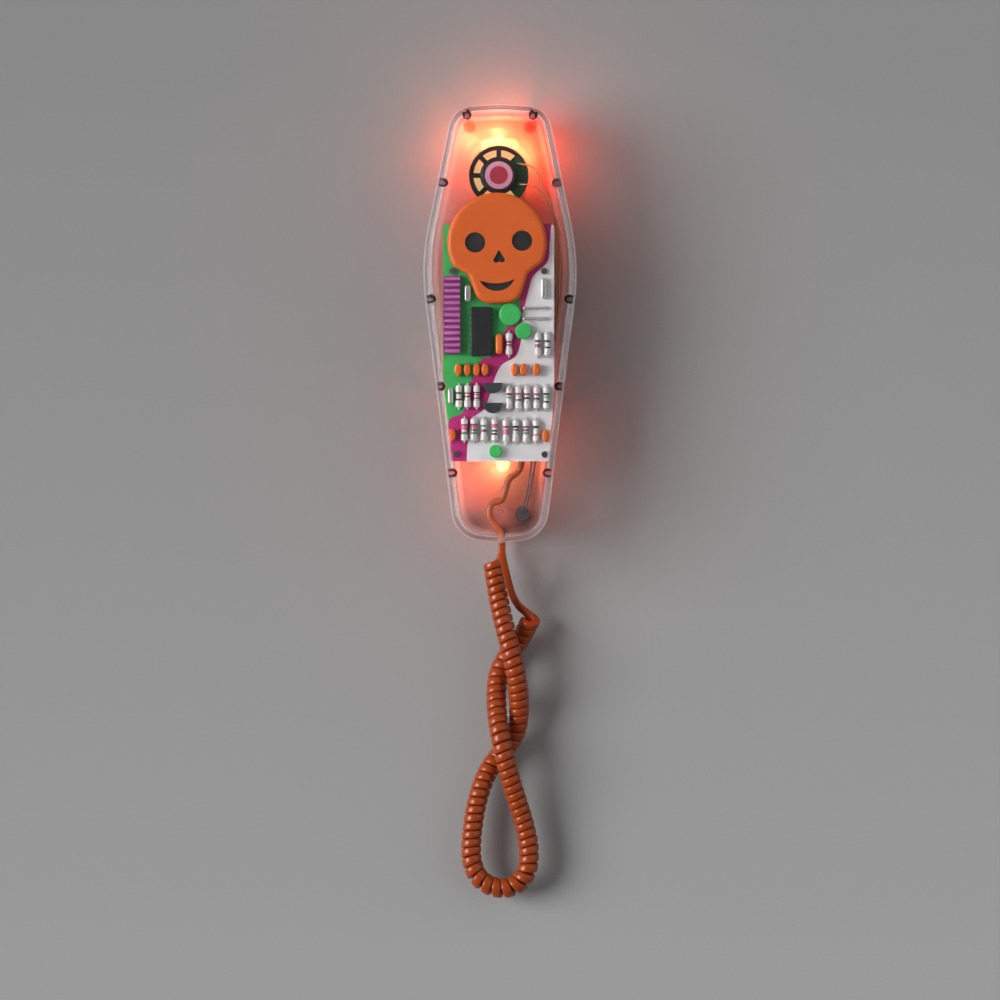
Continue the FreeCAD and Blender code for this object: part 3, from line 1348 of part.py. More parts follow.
def receiver_wires():
    """Two wires that rise from the solder points and run beside the board."""
    low = frame_top_h + TERMINAL_T + SOLDER_R
    solids = []
    for (x, y), route in zip(solder_places(), SPEAKER_WIRES):
        start = [(x, y, 0.0), (x, y, SPEAKER_RISE)]
        solids.append(tube("receiver_wires", lifted(start + route, low), WIRE_R))
    return solids


def microphone_wires():
    low = ear_face_h + WALL + MIC_SKIN + BOOT_T
    return [tube("microphone_wires", lifted(route, low), WIRE_R) for route in MIC_WIRES]


def all_parts():
    parts = {
        "handset_back_cover": handset_back_cover(),
        "handset_face_cover": handset_face_cover(),
        "handset_screws": handset_screws(),
        "circuit_board": circuit_board(),
        "board_screws": board_screws(),
        "skull_plate": skull_plate(),
        "skull_inlays": skull_inlays(),
        "receiver_frame": receiver_frame(),
        "receiver_magnet": receiver_magnet(),
        "receiver_label": receiver_label(),
        "receiver_cone": receiver_cone(),
        "receiver_terminal": receiver_terminal(),
        "receiver_wires": receiver_wires(),
        "microphone_capsule": microphone_capsule(),
        "microphone_boot": microphone_boot(),
        "microphone_wires": microphone_wires(),
        "resistors": resistors(),
        "disc_capacitors": disc_capacitors(),
        "green_discs": green_discs(),
        "dial_chip": dial_chip(),
        "chip_pins": chip_pins(),
        "ribbed_choke": ribbed_choke(),
        "film_capacitor": film_capacitor(),
        "transistors": transistors(),
        "wire_jumpers": wire_jumpers(),
        "crystal_cans": crystal_cans(),
        "keypad_mat": keypad_mat(),
        "keypad_board": keypad_board(),
        "inner_cord": inner_cord(),
        "base_front_shell": base_front_shell(),
        "base_back_plate": base_back_plate(),
        "base_screws": base_screws(),
        "hanger_clip": hanger_clip(),
        "hook_plunger": hook_plunger(),
        "hook_spring": hook_spring(),
        "hook_switch": hook_switch(),
        "line_board": line_board(),
        "line_jack": line_jack(),
        "ringer_sounder": ringer_sounder(),
        "ringer_switch": ringer_switch(),
        "ringer_knob": ringer_knob(),
        "upper_lamp": lamp(*UPPER_LAMP, RIGHT),
        "lower_lamp": lamp(*LOWER_LAMP, DOWN),
        "lamp_holders": lamp_holders(),
        "base_cord_bush": base_cord_bush(),
    }
    for name, (x, y) in key_places().items():
        parts["key_" + name] = key(x, y)
    parts.update(cords())
    return parts


def export(name, shape):
    """Turn a piece from the plan frame into the row frame and write it."""
    whole = Part.makeCompound(shape) if isinstance(shape, list) else shape
    whole.rotate(V(0, 0, 0), V(1, 0, 0), 90)
    for solid in whole.Solids:
        if not solid.isValid():
            print(name, "has a solid that isn't valid")
    print(name, len(whole.Solids), "solids", round(whole.Volume))
    whole.exportStep("parts/" + name + ".step")


os.makedirs("parts", exist_ok=True)
for part_name, part_shape in all_parts().items():
    export(part_name, part_shape)
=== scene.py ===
"""Looks for the coffin-shaped wall telephone: clear shells, printed board, lamps, cord and wall."""

import math

import bpy
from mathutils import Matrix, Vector


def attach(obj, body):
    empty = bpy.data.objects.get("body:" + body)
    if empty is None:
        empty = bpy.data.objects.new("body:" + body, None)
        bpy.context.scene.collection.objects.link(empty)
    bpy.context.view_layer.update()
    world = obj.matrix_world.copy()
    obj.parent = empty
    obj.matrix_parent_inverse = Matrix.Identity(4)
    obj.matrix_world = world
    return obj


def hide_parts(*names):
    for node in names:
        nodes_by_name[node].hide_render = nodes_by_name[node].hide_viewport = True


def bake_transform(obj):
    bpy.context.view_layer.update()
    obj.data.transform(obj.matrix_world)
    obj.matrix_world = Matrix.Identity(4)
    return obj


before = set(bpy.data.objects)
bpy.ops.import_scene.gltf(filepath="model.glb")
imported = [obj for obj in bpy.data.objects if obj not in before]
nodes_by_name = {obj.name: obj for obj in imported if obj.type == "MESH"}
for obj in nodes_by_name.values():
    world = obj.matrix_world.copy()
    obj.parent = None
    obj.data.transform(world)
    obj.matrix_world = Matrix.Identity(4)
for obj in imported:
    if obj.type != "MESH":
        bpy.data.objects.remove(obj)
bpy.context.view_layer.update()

MM = 0.001
scene = bpy.context.scene

# Heights off the wall and places shared with the solids, in millimetres.
# The notch for a case post has a middle and a radius, and the ear is the receiver's middle
BOARD_H = 39.6
BOARD_TOP_Y = 49.3
BOARD_LEFT = -28.4
BOARD_TAPER_Y = -36.0
BOARD_LOW_LEFT = -25.1
BOARD_BOTTOM_Y = -68.7
NOTCH = (-29.3, -31.3, 2.6)
EAR = (-0.6, 74.6)
LABEL_TOP_H = 28.2
CHOKE_TOP_H = 43.75

# The photo's pixel at the middle of the plan, and its pixels per millimetre
PHOTO_MIDDLE = (500, 324)
PHOTO_SCALE = 2

# How far flat print stands off what it is printed on
PRINT_LIFT = 0.04


def place(x, y, h):
    """A point of the plan (x, y up the coffin, h off the wall) in the row frame."""
    return Vector((x * MM, -h * MM, y * MM))


def from_photo(px, py):
    """Plan place of a point read off the photograph's board."""
    return (px - PHOTO_MIDDLE[0]) / PHOTO_SCALE, (PHOTO_MIDDLE[1] - py) / PHOTO_SCALE


# Materials


def principled(name, color, rough=0.5, metal=0.0, **more):
    """A material with one Principled shader and values set on its sockets."""
    made = bpy.data.materials.new(name)
    made.use_nodes = True
    shader = made.node_tree.nodes["Principled BSDF"]
    shader.inputs["Base Color"].default_value = (*color, 1.0)
    shader.inputs["Roughness"].default_value = rough
    shader.inputs["Metallic"].default_value = metal
    for socket, value in more.items():
        shader.inputs[socket.replace("_", " ")].default_value = value
    return made


def grain(made, scale, strength, distance=0.0002, detail=3.0):
    """Fine noise in a material's surface."""
    tree = made.node_tree
    where = tree.nodes.new("ShaderNodeTexCoord")
    noise = tree.nodes.new("ShaderNodeTexNoise")
    noise.inputs["Scale"].default_value = scale
    noise.inputs["Detail"].default_value = detail
    bump = tree.nodes.new("ShaderNodeBump")
    bump.inputs["Strength"].default_value = strength
    bump.inputs["Distance"].default_value = distance
    tree.links.new(where.outputs["Object"], noise.inputs["Vector"])
    tree.links.new(noise.outputs["Fac"], bump.inputs["Height"])
    tree.links.new(bump.outputs["Normal"], tree.nodes["Principled BSDF"].inputs["Normal"])
    return made


def object_axis(tree, axis):
    """One coordinate of the shaded point, in metres."""
    where = tree.nodes.new("ShaderNodeTexCoord")
    split = tree.nodes.new("ShaderNodeSeparateXYZ")
    tree.links.new(where.outputs["Object"], split.inputs["Vector"])
    return split.outputs[axis]


def map_range(tree, value, start, end, low=0.0, high=1.0):
    """A value taken from one range to another and held at its ends."""
    node = tree.nodes.new("ShaderNodeMapRange")
    node.inputs["From Min"].default_value = start
    node.inputs["From Max"].default_value = end
    node.inputs["To Min"].default_value = low
    node.inputs["To Max"].default_value = high
    tree.links.new(value, node.inputs["Value"])
    return node.outputs["Result"]


def calculated(tree, operation, value, other=None):
    """The result of an operation on a socket, alone or with a number or a second socket."""
    node = tree.nodes.new("ShaderNodeMath")
    node.operation = operation
    tree.links.new(value, node.inputs[0])
    if isinstance(other, float):
        node.inputs[1].default_value = other
    elif other is not None:
        tree.links.new(other, node.inputs[1])
    return node.outputs["Value"]


def mix_color(tree, factor, socket, color):
    """Mixes a colour into the one that is set on a socket."""
    mix = tree.nodes.new("ShaderNodeMix")
    mix.data_type = "RGBA"
    mix.inputs["A"].default_value = socket.default_value
    mix.inputs["B"].default_value = (*color, 1.0)
    tree.links.new(factor, mix.inputs["Factor"])
    tree.links.new(mix.outputs["Result"], socket)


def plain_shader(tree, kind, color, name=None):
    """A shader that has only a colour."""
    node = tree.nodes.new("ShaderNodeBsdf" + kind)
    node.inputs["Color"].default_value = (*color, 1.0)
    if name:
        node.name = name
    return node.outputs["BSDF"]


def mix_shader(tree, factor, first, second):
    """Two shaders mixed by a number or a socket."""
    mix = tree.nodes.new("ShaderNodeMixShader")
    if isinstance(factor, float):
        mix.inputs["Fac"].default_value = factor
    else:
        tree.links.new(factor, mix.inputs["Fac"])
    tree.links.new(first, mix.inputs[1])
    tree.links.new(second, mix.inputs[2])
    return mix.outputs["Shader"]


RIB_HIGHLIGHT_BLEND = 0.5


def painted_rib_highlight(made, painted_highlight, height):
    """Painted highlight: a paler colour on what stands higher off the wall than a height."""
    tree = made.node_tree
    step = map_range(tree, object_axis(tree, "Y"), -height * MM, -(height + RIB_HIGHLIGHT_BLEND) * MM)
    mix_color(tree, step, tree.nodes["Principled BSDF"].inputs["Base Color"], painted_highlight)
    return made


# Painted reflection: the pale colour mixed in where clear plastic is seen edge on
PAINTED_EDGE_REFLECTION = (0.62, 0.58, 0.60)
MILKY = "Milky"


def clear_plastic(name, color, rough, ior, scatter, edge, glow, tint):
    """Clear plastic: it bends what is seen through it, has a painted reflection (a pale lit colour where it
    is seen edge on) and tints light that passes.
    """
    made = principled(name, color, rough, IOR=ior, Transmission_Weight=1.0)
    tree = made.node_tree
    milky = plain_shader(tree, "Translucent", glow, MILKY)
    body = mix_shader(tree, scatter, tree.nodes["Principled BSDF"].outputs["BSDF"], milky)
    painted_highlight = tree.nodes.new("ShaderNodeAddShader")
    for i, kind in enumerate(("Diffuse", "Translucent")):
        tree.links.new(plain_shader(tree, kind, PAINTED_EDGE_REFLECTION), painted_highlight.inputs[i])
    facing = tree.nodes.new("ShaderNodeLayerWeight")
    facing.inputs["Blend"].default_value = edge
    rim = mix_shader(tree, facing.outputs["Facing"], body, painted_highlight.outputs["Shader"])
    path = tree.nodes.new("ShaderNodeLightPath")
    whole = mix_shader(tree, path.outputs["Is Shadow Ray"], rim, plain_shader(tree, "Transparent", tint))
    tree.links.new(whole, tree.nodes["Material Output"].inputs["Surface"])
    return made


# Painted shade greys the cradle's lower corners, for the dark reflection there: heights and distances from
# the middle over which it fades in
FOOT_SHADE_HEIGHTS = (-91.0, -98.0)
FOOT_SHADE_ASIDE = (5.0, 12.0)
FOOT_SHADE_MIDDLE_SHARE = 0.3
FOOT_SHADE_COLOR = (0.74, 0.80, 0.83)
FOOT_SHADE_GLOW = (0.30, 0.33, 0.35)


def painted_shade_foot(made):
    """Painted shade: greyer lower corners, for the dark reflection where the cradle's clear plastic turns
    away from its lamp.
    """
    tree = made.node_tree
    painted_shading_fade = map_range(tree, object_axis(tree, "Z"), *(y * MM for y in FOOT_SHADE_HEIGHTS))
    aside = calculated(tree, "ABSOLUTE", object_axis(tree, "X"))
    widen = map_range(tree, aside, *(x * MM for x in FOOT_SHADE_ASIDE), low=FOOT_SHADE_MIDDLE_SHARE)
    both = calculated(tree, "MULTIPLY", painted_shading_fade, widen)
    mix_color(tree, both, tree.nodes["Principled BSDF"].inputs["Base Color"], FOOT_SHADE_COLOR)
    mix_color(tree, both, tree.nodes[MILKY].inputs["Color"], FOOT_SHADE_GLOW)
    return made


# Painted lamp light, a glow on the handset's screws: the height with none, and the distances from it where it
# rises
PAINTED_GLOW_MIDDLE = 15.0
PAINTED_GLOW_RISE = (45.0, 90.0)
PAINTED_GLOW_COLOR = (1.0, 0.20, 0.17)
PAINTED_GLOW_STRENGTH = 0.18


def painted_lamp_glow(made):
    """Painted lamp light, a glow that small parts show inside the clear plastic, stronger towards its two
    ends.
    """
    tree = made.node_tree
    shader = tree.nodes["Principled BSDF"]
    offset = calculated(tree, "SUBTRACT", object_axis(tree, "Z"), PAINTED_GLOW_MIDDLE * MM)
    away = calculated(tree, "ABSOLUTE", offset)
    rise = map_range(tree, away, *(y * MM for y in PAINTED_GLOW_RISE), high=PAINTED_GLOW_STRENGTH)
    shader.inputs["Emission Color"].default_value = (*PAINTED_GLOW_COLOR, 1.0)
    tree.links.new(rise, shader.inputs["Emission Strength"])
    return made


ORANGE = (0.63, 0.106, 0.006)
CORD = (0.38, 0.055, 0.006)
MAGENTA = (0.45, 0.014, 0.165)
GREEN = (0.038, 0.39, 0.092)
WHITE = (0.69, 0.69, 0.71)

clear = clear_plastic(
    "clear_shell", (0.99, 0.985, 0.985), rough=0.02, ior=1.20, scatter=0.002, edge=0.045,
    glow=(0.9, 0.85, 0.85), tint=(0.66, 0.64, 0.64))
clear_face = clear_plastic(
    "clear_face", (0.98, 0.94, 0.94), rough=0.16, ior=1.18, scatter=0.06, edge=0.012,
    glow=(0.95, 0.84, 0.84), tint=(0.55, 0.50, 0.50))
# The cradle's plastic carries painted shade at its lower corners
clear_base = painted_shade_foot(clear_plastic(
    "clear_base", (0.98, 0.91, 0.90), rough=0.30, ior=1.18, scatter=0.11, edge=0.012,
    glow=(0.95, 0.82, 0.80), tint=(0.93, 0.61, 0.56)))

# Colour, roughness and metal of each other material, then the scale and strength of its grain
steel = grain(principled("steel", (0.32, 0.32, 0.34), 0.35, 1.0), 900, 0.15)
# The handset's screws have a painted glow of lamp light
screw_steel_with_painted_glow = painted_lamp_glow(grain(principled("screw_steel_with_painted_glow", (0.50, 0.36, 0.43), 0.5), 900, 0.15))
dark_steel = grain(principled("dark_steel", (0.10, 0.09, 0.095), 0.45, 0.5), 900, 0.15)
board_white = grain(principled("board_white", WHITE, 0.4), 1500, 0.08)
board_magenta = grain(principled("board_magenta", MAGENTA, 0.45), 1500, 0.08)
board_green_print = grain(principled("board_green_print", GREEN, 0.45), 1500, 0.08)
skull = grain(principled("skull_orange", ORANGE, 0.55), 2200, 0.25)
slate = grain(principled("slate", (0.010, 0.013, 0.015), 0.6), 1800, 0.2)
case_slate = grain(principled("case_slate", (0.028, 0.042, 0.048), 0.5), 1800, 0.15)
receiver_black = grain(principled("receiver_black", (0.012, 0.011, 0.012), 0.45), 900, 0.15)
label_purple = grain(principled("label_purple", (0.50, 0.25, 0.36), 0.5), 1400, 0.1)
label_red = grain(principled("label_red", (0.30, 0.02, 0.04), 0.5), 1400, 0.1)
# The cone film has a painted glow: an emission for the lamp light that shines through it
cone_film_with_painted_glow = principled("cone_film_with_painted_glow", (0.66, 0.52, 0.32), 0.45, IOR=1.1, Transmission_Weight=0.35,
                       Emission_Color=(1.0, 0.76, 0.38, 1.0), Emission_Strength=0.36)
terminal_green = grain(principled("terminal_green", (0.012, 0.055, 0.03), 0.35), 1200, 0.1)
copper = principled("copper", (0.45, 0.20, 0.09), 0.4, 0.5)
capsule_metal = principled("capsule_metal", (0.6, 0.6, 0.62), 0.35, 1.0)
rubber_black = grain(principled("rubber_black", (0.10, 0.085, 0.088), 0.8), 1500, 0.2)
resistor_white = principled("resistor_white", (0.60, 0.59, 0.58), 0.18, Coat_Weight=0.6)
disc_orange = grain(principled("disc_orange", (0.66, 0.13, 0.012), 0.35), 900, 0.1)
disc_green = grain(principled("disc_green", (0.04, 0.46, 0.10), 0.45), 900, 0.1)
chip_black = grain(principled("chip_black", (0.010, 0.012, 0.016), 0.5), 2000, 0.2)
pin_metal = principled("pin_metal", (0.05, 0.07, 0.06), 0.4)
# The choke's rib tops carry a painted highlight
choke_purple = painted_rib_highlight(
    principled("choke_purple", (0.25, 0.035, 0.19), 0.4), (0.48, 0.15, 0.38), CHOKE_TOP_H)
can_metal = principled("can_metal", (0.72, 0.72, 0.72), 0.25, 0.8)
mat_grey = grain(principled("mat_grey", (0.45, 0.45, 0.45), 0.7), 900, 0.2)
board_green = grain(principled("board_green", (0.03, 0.20, 0.09), 0.4), 1200, 0.1)
key_white = grain(principled("key_white", (0.70, 0.70, 0.68), 0.4), 1500, 0.1)
ink = principled("ink", (0.02, 0.02, 0.025), 0.5)
cord_orange = grain(principled("cord_orange", CORD, 0.28), 900, 0.12)
inner_orange = grain(principled("inner_orange", (0.36, 0.080, 0.025), 0.45), 900, 0.12)
switch_black = grain(principled("switch_black", (0.015, 0.015, 0.017), 0.5), 1200, 0.15)
jack_grey = clear_plastic(
    "jack_grey", (0.75, 0.75, 0.75), rough=0.1, ior=1.3, scatter=0.2, edge=0.05,
    glow=(0.6, 0.6, 0.6), tint=(0.8, 0.8, 0.8))
holder_white = grain(principled("holder_white", (0.62, 0.58, 0.52), 0.5), 900, 0.1)
lamp_glass = principled("lamp_glass", (1.0, 0.55, 0.2), 0.2,
                        Emission_Color=(1.0, 0.50, 0.16, 1.0), Emission_Strength=2.5)
band_colors = {
    "M": principled("band_magenta", (0.36, 0.012, 0.11), 0.3),
    "P": principled("band_pink", (0.58, 0.14, 0.26), 0.3),
    "G": principled("band_green", (0.10, 0.30, 0.17), 0.3),
    "K": principled("band_black", (0.012, 0.010, 0.014), 0.3),
    "D": principled("band_dark_red", (0.12, 0.012, 0.035), 0.3),
}

looks = {
    clear: ["handset_back_cover"],
    clear_face: ["handset_face_cover"],
    clear_base: ["base_front_shell", "base_back_plate", "hanger_clip"],
    screw_steel_with_painted_glow: ["handset_screws"],
    dark_steel: ["board_screws"],
    steel: ["base_screws", "hook_spring"],
    board_white: ["circuit_board"],
    skull: ["skull_plate"],
    slate: ["skull_inlays"],
    receiver_black: ["receiver_frame", "receiver_magnet"],
    label_purple: ["receiver_label"],
    cone_film_with_painted_glow: ["receiver_cone"],
    terminal_green: ["receiver_terminal"],
    copper: ["receiver_wires"],
    capsule_metal: ["microphone_capsule"],
    rubber_black: ["microphone_boot", "microphone_wires", "base_cord_bush"],
    resistor_white: ["resistors"],
    disc_orange: ["disc_capacitors", "film_capacitor"],
    disc_green: ["green_discs"],
    chip_black: ["dial_chip"],
    pin_metal: ["chip_pins"],
    choke_purple: ["ribbed_choke"],
    case_slate: ["transistors"],
    can_metal: ["wire_jumpers", "crystal_cans"],
    mat_grey: ["keypad_mat"],
    board_green: ["keypad_board", "line_board"],
    key_white: ["hook_plunger", "ringer_knob"] + [n for n in nodes_by_name if n.startswith("key_")],
    cord_orange: ["curly_cord", "base_lead", "handset_lead"],
    inner_orange: ["inner_cord"],
    switch_black: ["hook_switch", "ringer_sounder", "ringer_switch"],
    jack_grey: ["line_jack"],
    lamp_glass: ["upper_lamp", "lower_lamp"],
    holder_white: ["lamp_holders"],
}
for look, names in looks.items():
    for name in names:
        data = nodes_by_name[name].data
        data.materials.clear()
        data.materials.append(look)


def mesh_piece(name, points, faces, look, body=None, smooth=True):
    """A mesh in the row frame, riding on a body."""
    data = bpy.data.meshes.new(name)
    data.from_pydata([tuple(p) for p in points], [], faces)
    data.materials.append(look)
    for polygon in data.polygons:
        polygon.use_smooth = smooth
    made = bpy.data.objects.new(name, data)
    scene.collection.objects.link(made)
    if body:
        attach(made, body)
    return made


def mesh_of_shape(data):
    """The mesh that a text or a curve makes."""
    shape = bpy.data.objects.new("shape_of_" + data.name, data)
    scene.collection.objects.link(shape)
    bpy.context.view_layer.update()
    made = bpy.data.meshes.new_from_object(shape.evaluated_get(bpy.context.evaluated_depsgraph_get()))
    bpy.data.objects.remove(shape)
    return made


# Board print: a magenta sheet and a green one over the white board, edged by points of the photo

MAGENTA_EDGE = [
    (551, 224), (551, 226), (549.5, 245), (547.5, 262), (533.5, 276), (529.5, 287), (525.5, 303), (522, 318),
    (521, 340), (516, 356), (503, 364), (497.5, 372), (494, 381), (489.5, 396), (483.6, 410),
    (472, 419.5), (468, 441), (466.7, 461.4),
]
GREEN_EDGE = [
    (516, 224), (518, 270), (520, 305), (519, 318), (510, 325), (504.6, 331.6), (494, 355),
    (482, 360), (475, 374), (470.5, 384), (464.5, 411), (451, 418), (447.2, 425),
]
NOTCH_STEPS = 8


def smooth_line(points, steps=6):
    """A Catmull-Rom line through points."""
    line = []
    last = len(points) - 1
    for i in range(last):
        p0, p1 = points[max(i - 1, 0)], points[i]
        p2, p3 = points[i + 1], points[min(i + 2, last)]
        for k in range(steps):
            t = k / steps
            line.append(tuple(
                0.5 * (2 * b + (c - a) * t + (2 * a - 5 * b + 4 * c - d) * t * t
                       + (3 * b - a - 3 * c + d) * t ** 3)
                for a, b, c, d in zip(p0, p1, p2, p3)))
    return line + [points[-1]]


def left_edge(low_y):
    """The board's left outline from the top down to low_y, round the notch for the case post."""
    x, y, r = NOTCH
    half = math.acos((BOARD_LEFT - x) / r)
    line = [(BOARD_LEFT, BOARD_TOP_Y)]
    for k in range(NOTCH_STEPS + 1):
        angle = half - 2 * half * k / NOTCH_STEPS
        line.append((x + r * math.cos(angle), y + r * math.sin(angle)))
    line.append((BOARD_LEFT, BOARD_TAPER_Y))
    share = (BOARD_TAPER_Y - low_y) / (BOARD_TAPER_Y - BOARD_BOTTOM_Y)
    line.append((BOARD_LEFT + (BOARD_LOW_LEFT - BOARD_LEFT) * share, low_y))
    return line


def print_sheet(name, edge, lift, look):
    """A flat printed area from the board's left edge to a wavy line."""
    wave = smooth_line([from_photo(*p) for p in edge])
    low_y = wave[-1][1]
    border = left_edge(low_y) + list(reversed(wave))
    points = [place(x, y, BOARD_H + lift) for x, y in border]
    mesh_piece(name, points, [list(range(len(points)))], look, "handset", False)


print_sheet("print_magenta", MAGENTA_EDGE, lift=0.05, look=board_magenta)
print_sheet("print_green", GREEN_EDGE, lift=0.10, look=board_green_print)

# Resistor bands. A resistor is thicker beyond its shoulders, which rise between two distances from its middle
RESISTOR_H = BOARD_H + 1.75
RESISTOR_R = 1.4
RESISTOR_RISE = 0.35
SHOULDER = (1.9, 2.4)
BAND_LIFT = 0.03
BAND_SIDES = 18
SAME = 1e-6

# Place of each resistor and its bands as (offset along it, width, colour)
BANDS = [
    (4.5, -10.2, [(1.0, 0.8, "K"), (-0.5, 1.0, "M")]),
    (18.85, -10.5, [(1.7, 0.9, "K"), (-0.5, 1.5, "M")]),
    (23.65, -10.5, [(1.7, 0.8, "K"), (-1.4, 0.8, "K")]),
    (-20.5, -36.3, [(1.6, 0.8, "D"), (-1.6, 0.9, "D")]),
    (-16.2, -36.3, [(1.5, 0.8, "M"), (-0.1, 0.8, "D")]),
    (-11.6, -36.3, [(1.9, 0.7, "D"), (0.8, 0.7, "M"), (-0.9, 0.7, "D")]),
    (4.5, -37.0, [(1.8, 1.0, "M"), (0.1, 1.0, "G")]),
    (9.2, -37.0, [(1.9, 0.9, "M"), (-1.1, 0.9, "D")]),
    (13.5, -37.0, [(1.7, 0.9, "M"), (-0.2, 0.9, "K")]),
    (18.3, -37.0, [(1.7, 0.9, "M"), (-0.5, 0.9, "K")]),
    (23.1, -37.0, [(1.8, 0.9, "K"), (0.2, 1.2, "G"), (-2.1, 0.9, "K")]),
    (-17.8, -52.9, [(2.4, 0.8, "M"), (0.8, 2.0, "P"), (-1.7, 1.4, "G")]),
    (-13.1, -52.9, [(2.4, 1.0, "M"), (1.2, 1.0, "P"), (-0.2, 0.8, "K"), (-1.7, 1.2, "G")]),
    (-8.0, -52.9, [(1.9, 1.0, "G"), (-0.5, 1.2, "D")]),
    (-2.75, -52.9, [(1.9, 1.8, "P"), (-0.6, 0.7, "K"), (-2.2, 0.9, "K")]),
    (3.0, -53.5, [(2.0, 1.0, "M"), (-0.6, 2.6, "P")]),
    (7.85, -53.5, [(2.0, 1.0, "K"), (0.5, 0.8, "K")]),
    (13.0, -53.5, [(1.9, 1.0, "M"), (0.3, 0.8, "K"), (-1.1, 1.0, "G")]),
    (18.0, -53.5, [(1.9, 1.0, "K"), (-2.0, 1.0, "P")]),
]


def band_radius(offset):
    """Radius of a band at a distance from the resistor's middle."""
    share = (abs(offset) - SHOULDER[0]) / (SHOULDER[1] - SHOULDER[0])
    return RESISTOR_R + RESISTOR_RISE * min(max(share, 0.0), 1.0) + BAND_LIFT


def add_bands():
    """All bands, as one piece per colour."""
    shoulders = [sign * offset for offset in SHOULDER for sign in (-1, 1)]
    gathered = {letter: ([], []) for letter in band_colors}
    for x, y, bands in BANDS:
        for offset, width, letter in bands:
            points, faces = gathered[letter]
            low, high = offset - width / 2, offset + width / 2
            rows = sorted(r for r in {low, high, *shoulders} if low - SAME <= r <= high + SAME)
            first = len(points)
            for row in rows:
                r = band_radius(row)
                for k in range(BAND_SIDES):
                    angle = 2 * math.pi * k / BAND_SIDES
                    points.append(place(x + r * math.cos(angle), y + row, RESISTOR_H + r * math.sin(angle)))
            for i in range(len(rows) - 1):
                for k in range(BAND_SIDES):
                    a, b = first + i * BAND_SIDES + k, first + i * BAND_SIDES + (k + 1) % BAND_SIDES
                    faces.append((a, a + BAND_SIDES, b + BAND_SIDES, b))
    for letter, (points, faces) in gathered.items():
        mesh_piece("bands_" + letter, points, faces, band_colors[letter], "handset")


add_bands()

# Receiver label: a plain darker disc in its middle

LABEL_MIDDLE_R = 4.6
DISC_SIDES = 40


def flat_disc(name, x, y, h, r, look, body, slot):
    """A flat disc that faces away from the wall."""
    angles = [2 * math.pi * k / DISC_SIDES for k in range(DISC_SIDES)]
    points = [place(x + r * math.cos(a), y + r * math.sin(a), h) for a in angles]
    mesh_piece(name, points, [list(range(DISC_SIDES))], look, body, False)


flat_disc("label_middle", *EAR, LABEL_TOP_H + PRINT_LIFT, LABEL_MIDDLE_R, label_red,
          "handset", "receiver_label")

# Key numerals, read from the wall side

KEY_FACE_H = 18.3
KEY_PITCH = (12.5, 11.5)
KEYPAD_Y = -7.0
KEY_NAMES = ["1", "2", "3", "4", "5", "6", "7", "8", "9", "star", "0", "hash"]
KEY_SIGNS = {"star": "*", "hash": "#"}
KEY_COLUMNS = 3
NUMERAL_SIZE = 5.4
NUMERAL_STEPS = 3


def add_numerals():
    """A plain numeral on each key, on the key's body."""
    for i, name in enumerate(KEY_NAMES):
        row, column = divmod(i, KEY_COLUMNS)
        x = (1 - column) * KEY_PITCH[0]
        y = KEYPAD_Y + (1.5 - row) * KEY_PITCH[1]
        text = bpy.data.curves.new("numeral_" + name, "FONT")
        text.body = KEY_SIGNS.get(name, name)
        text.size = NUMERAL_SIZE * MM
        text.align_x = "CENTER"
        text.align_y = "CENTER"
        text.resolution_u = NUMERAL_STEPS
        data = mesh_of_shape(text)
        points = [place(x - v.co.x / MM, y + v.co.y / MM, KEY_FACE_H - PRINT_LIFT) for v in data.vertices]
        faces = [tuple(p.vertices) for p in data.polygons]
        mesh_piece("numeral_" + name, points, faces, ink, "button_" + name, False)


add_numerals()

# Cord: the coil on its route, the lead from the base, and the lead to the handset, in millimetres.
# A cord's section is flat-sided: half its size outwards from the coil (flat) and along it (wide).
# A turn's wide half is a share of the room between the turns, held within a range

CORD_D = 3.4
COIL_R = 3.0
COIL_PITCH = 4.05
COIL_START = -math.pi / 2
COIL_FLAT_HALF = 2.05
LEAD_FLAT_HALF = 1.6
LEAD_WIDE_HALF = 1.75
WIDE_SHARE = 0.464
WIDE_RANGE = (1.5, 2.3)
SECTION_POWER = 0.45
SWELL_RINGS = 8
RING_SIDES = 16
RINGS_PER_TURN = 22
COIL_ROUTE = [
    (-3.5, -119.5, 15.5), (-2.0, -130.5, 15.5), (0.5, -144.0, 17.0), (3.7, -157.0, 19.0),
    (6.8, -169.0, 19.5), (9.0, -181.0, 17.0), (9.8, -192.0, 13.0), (9.0, -202.0, 9.5),
    (5.5, -210.0, 7.0), (-0.5, -216.5, 6.5), (-5.8, -223.5, 8.0), (-10.0, -233.5, 10.0),
    (-12.8, -245.5, 11.0), (-14.4, -258.0, 11.0), (-14.6, -269.5, 11.0), (-10.6, -278.8, 11.0),
    (-2.0, -283.4, 11.0), (7.4, -282.6, 11.0), (13.9, -275.6, 11.0), (15.0, -264.0, 11.0),
    (12.5, -251.5, 11.5), (8.6, -239.0, 14.0), (4.8, -227.0, 17.5), (2.0, -215.5, 19.5),
    (0.0, -205.5, 19.0), (-1.6, -195.0, 14.5), (-2.0, -184.0, 9.5), (-0.8, -174.5, 6.5),
    (3.2, -167.0, 5.6), (8.5, -160.5, 6.5), (12.4, -154.5, 9.0), (15.4, -148.0, 12.5),
]
CORD_X = 1.0
BASE_EXIT = (CORD_X, -106.2, 7.5)
HANDSET_EXIT = (CORD_X, -109.9, 32.0)
LEAD_STRAIGHT = 4.0
HANDSET_LEAD = [(1.7, -118.2, 31.2), (2.8, -122.9, 29.4), (4.2, -128.7, 26.0), (6.2, -136.0, 19.5)]
STUB_RUN = 1.5
ROUTE_STEPS = 90
BEND_SHARE = 0.45
BEND_STEPS = 7
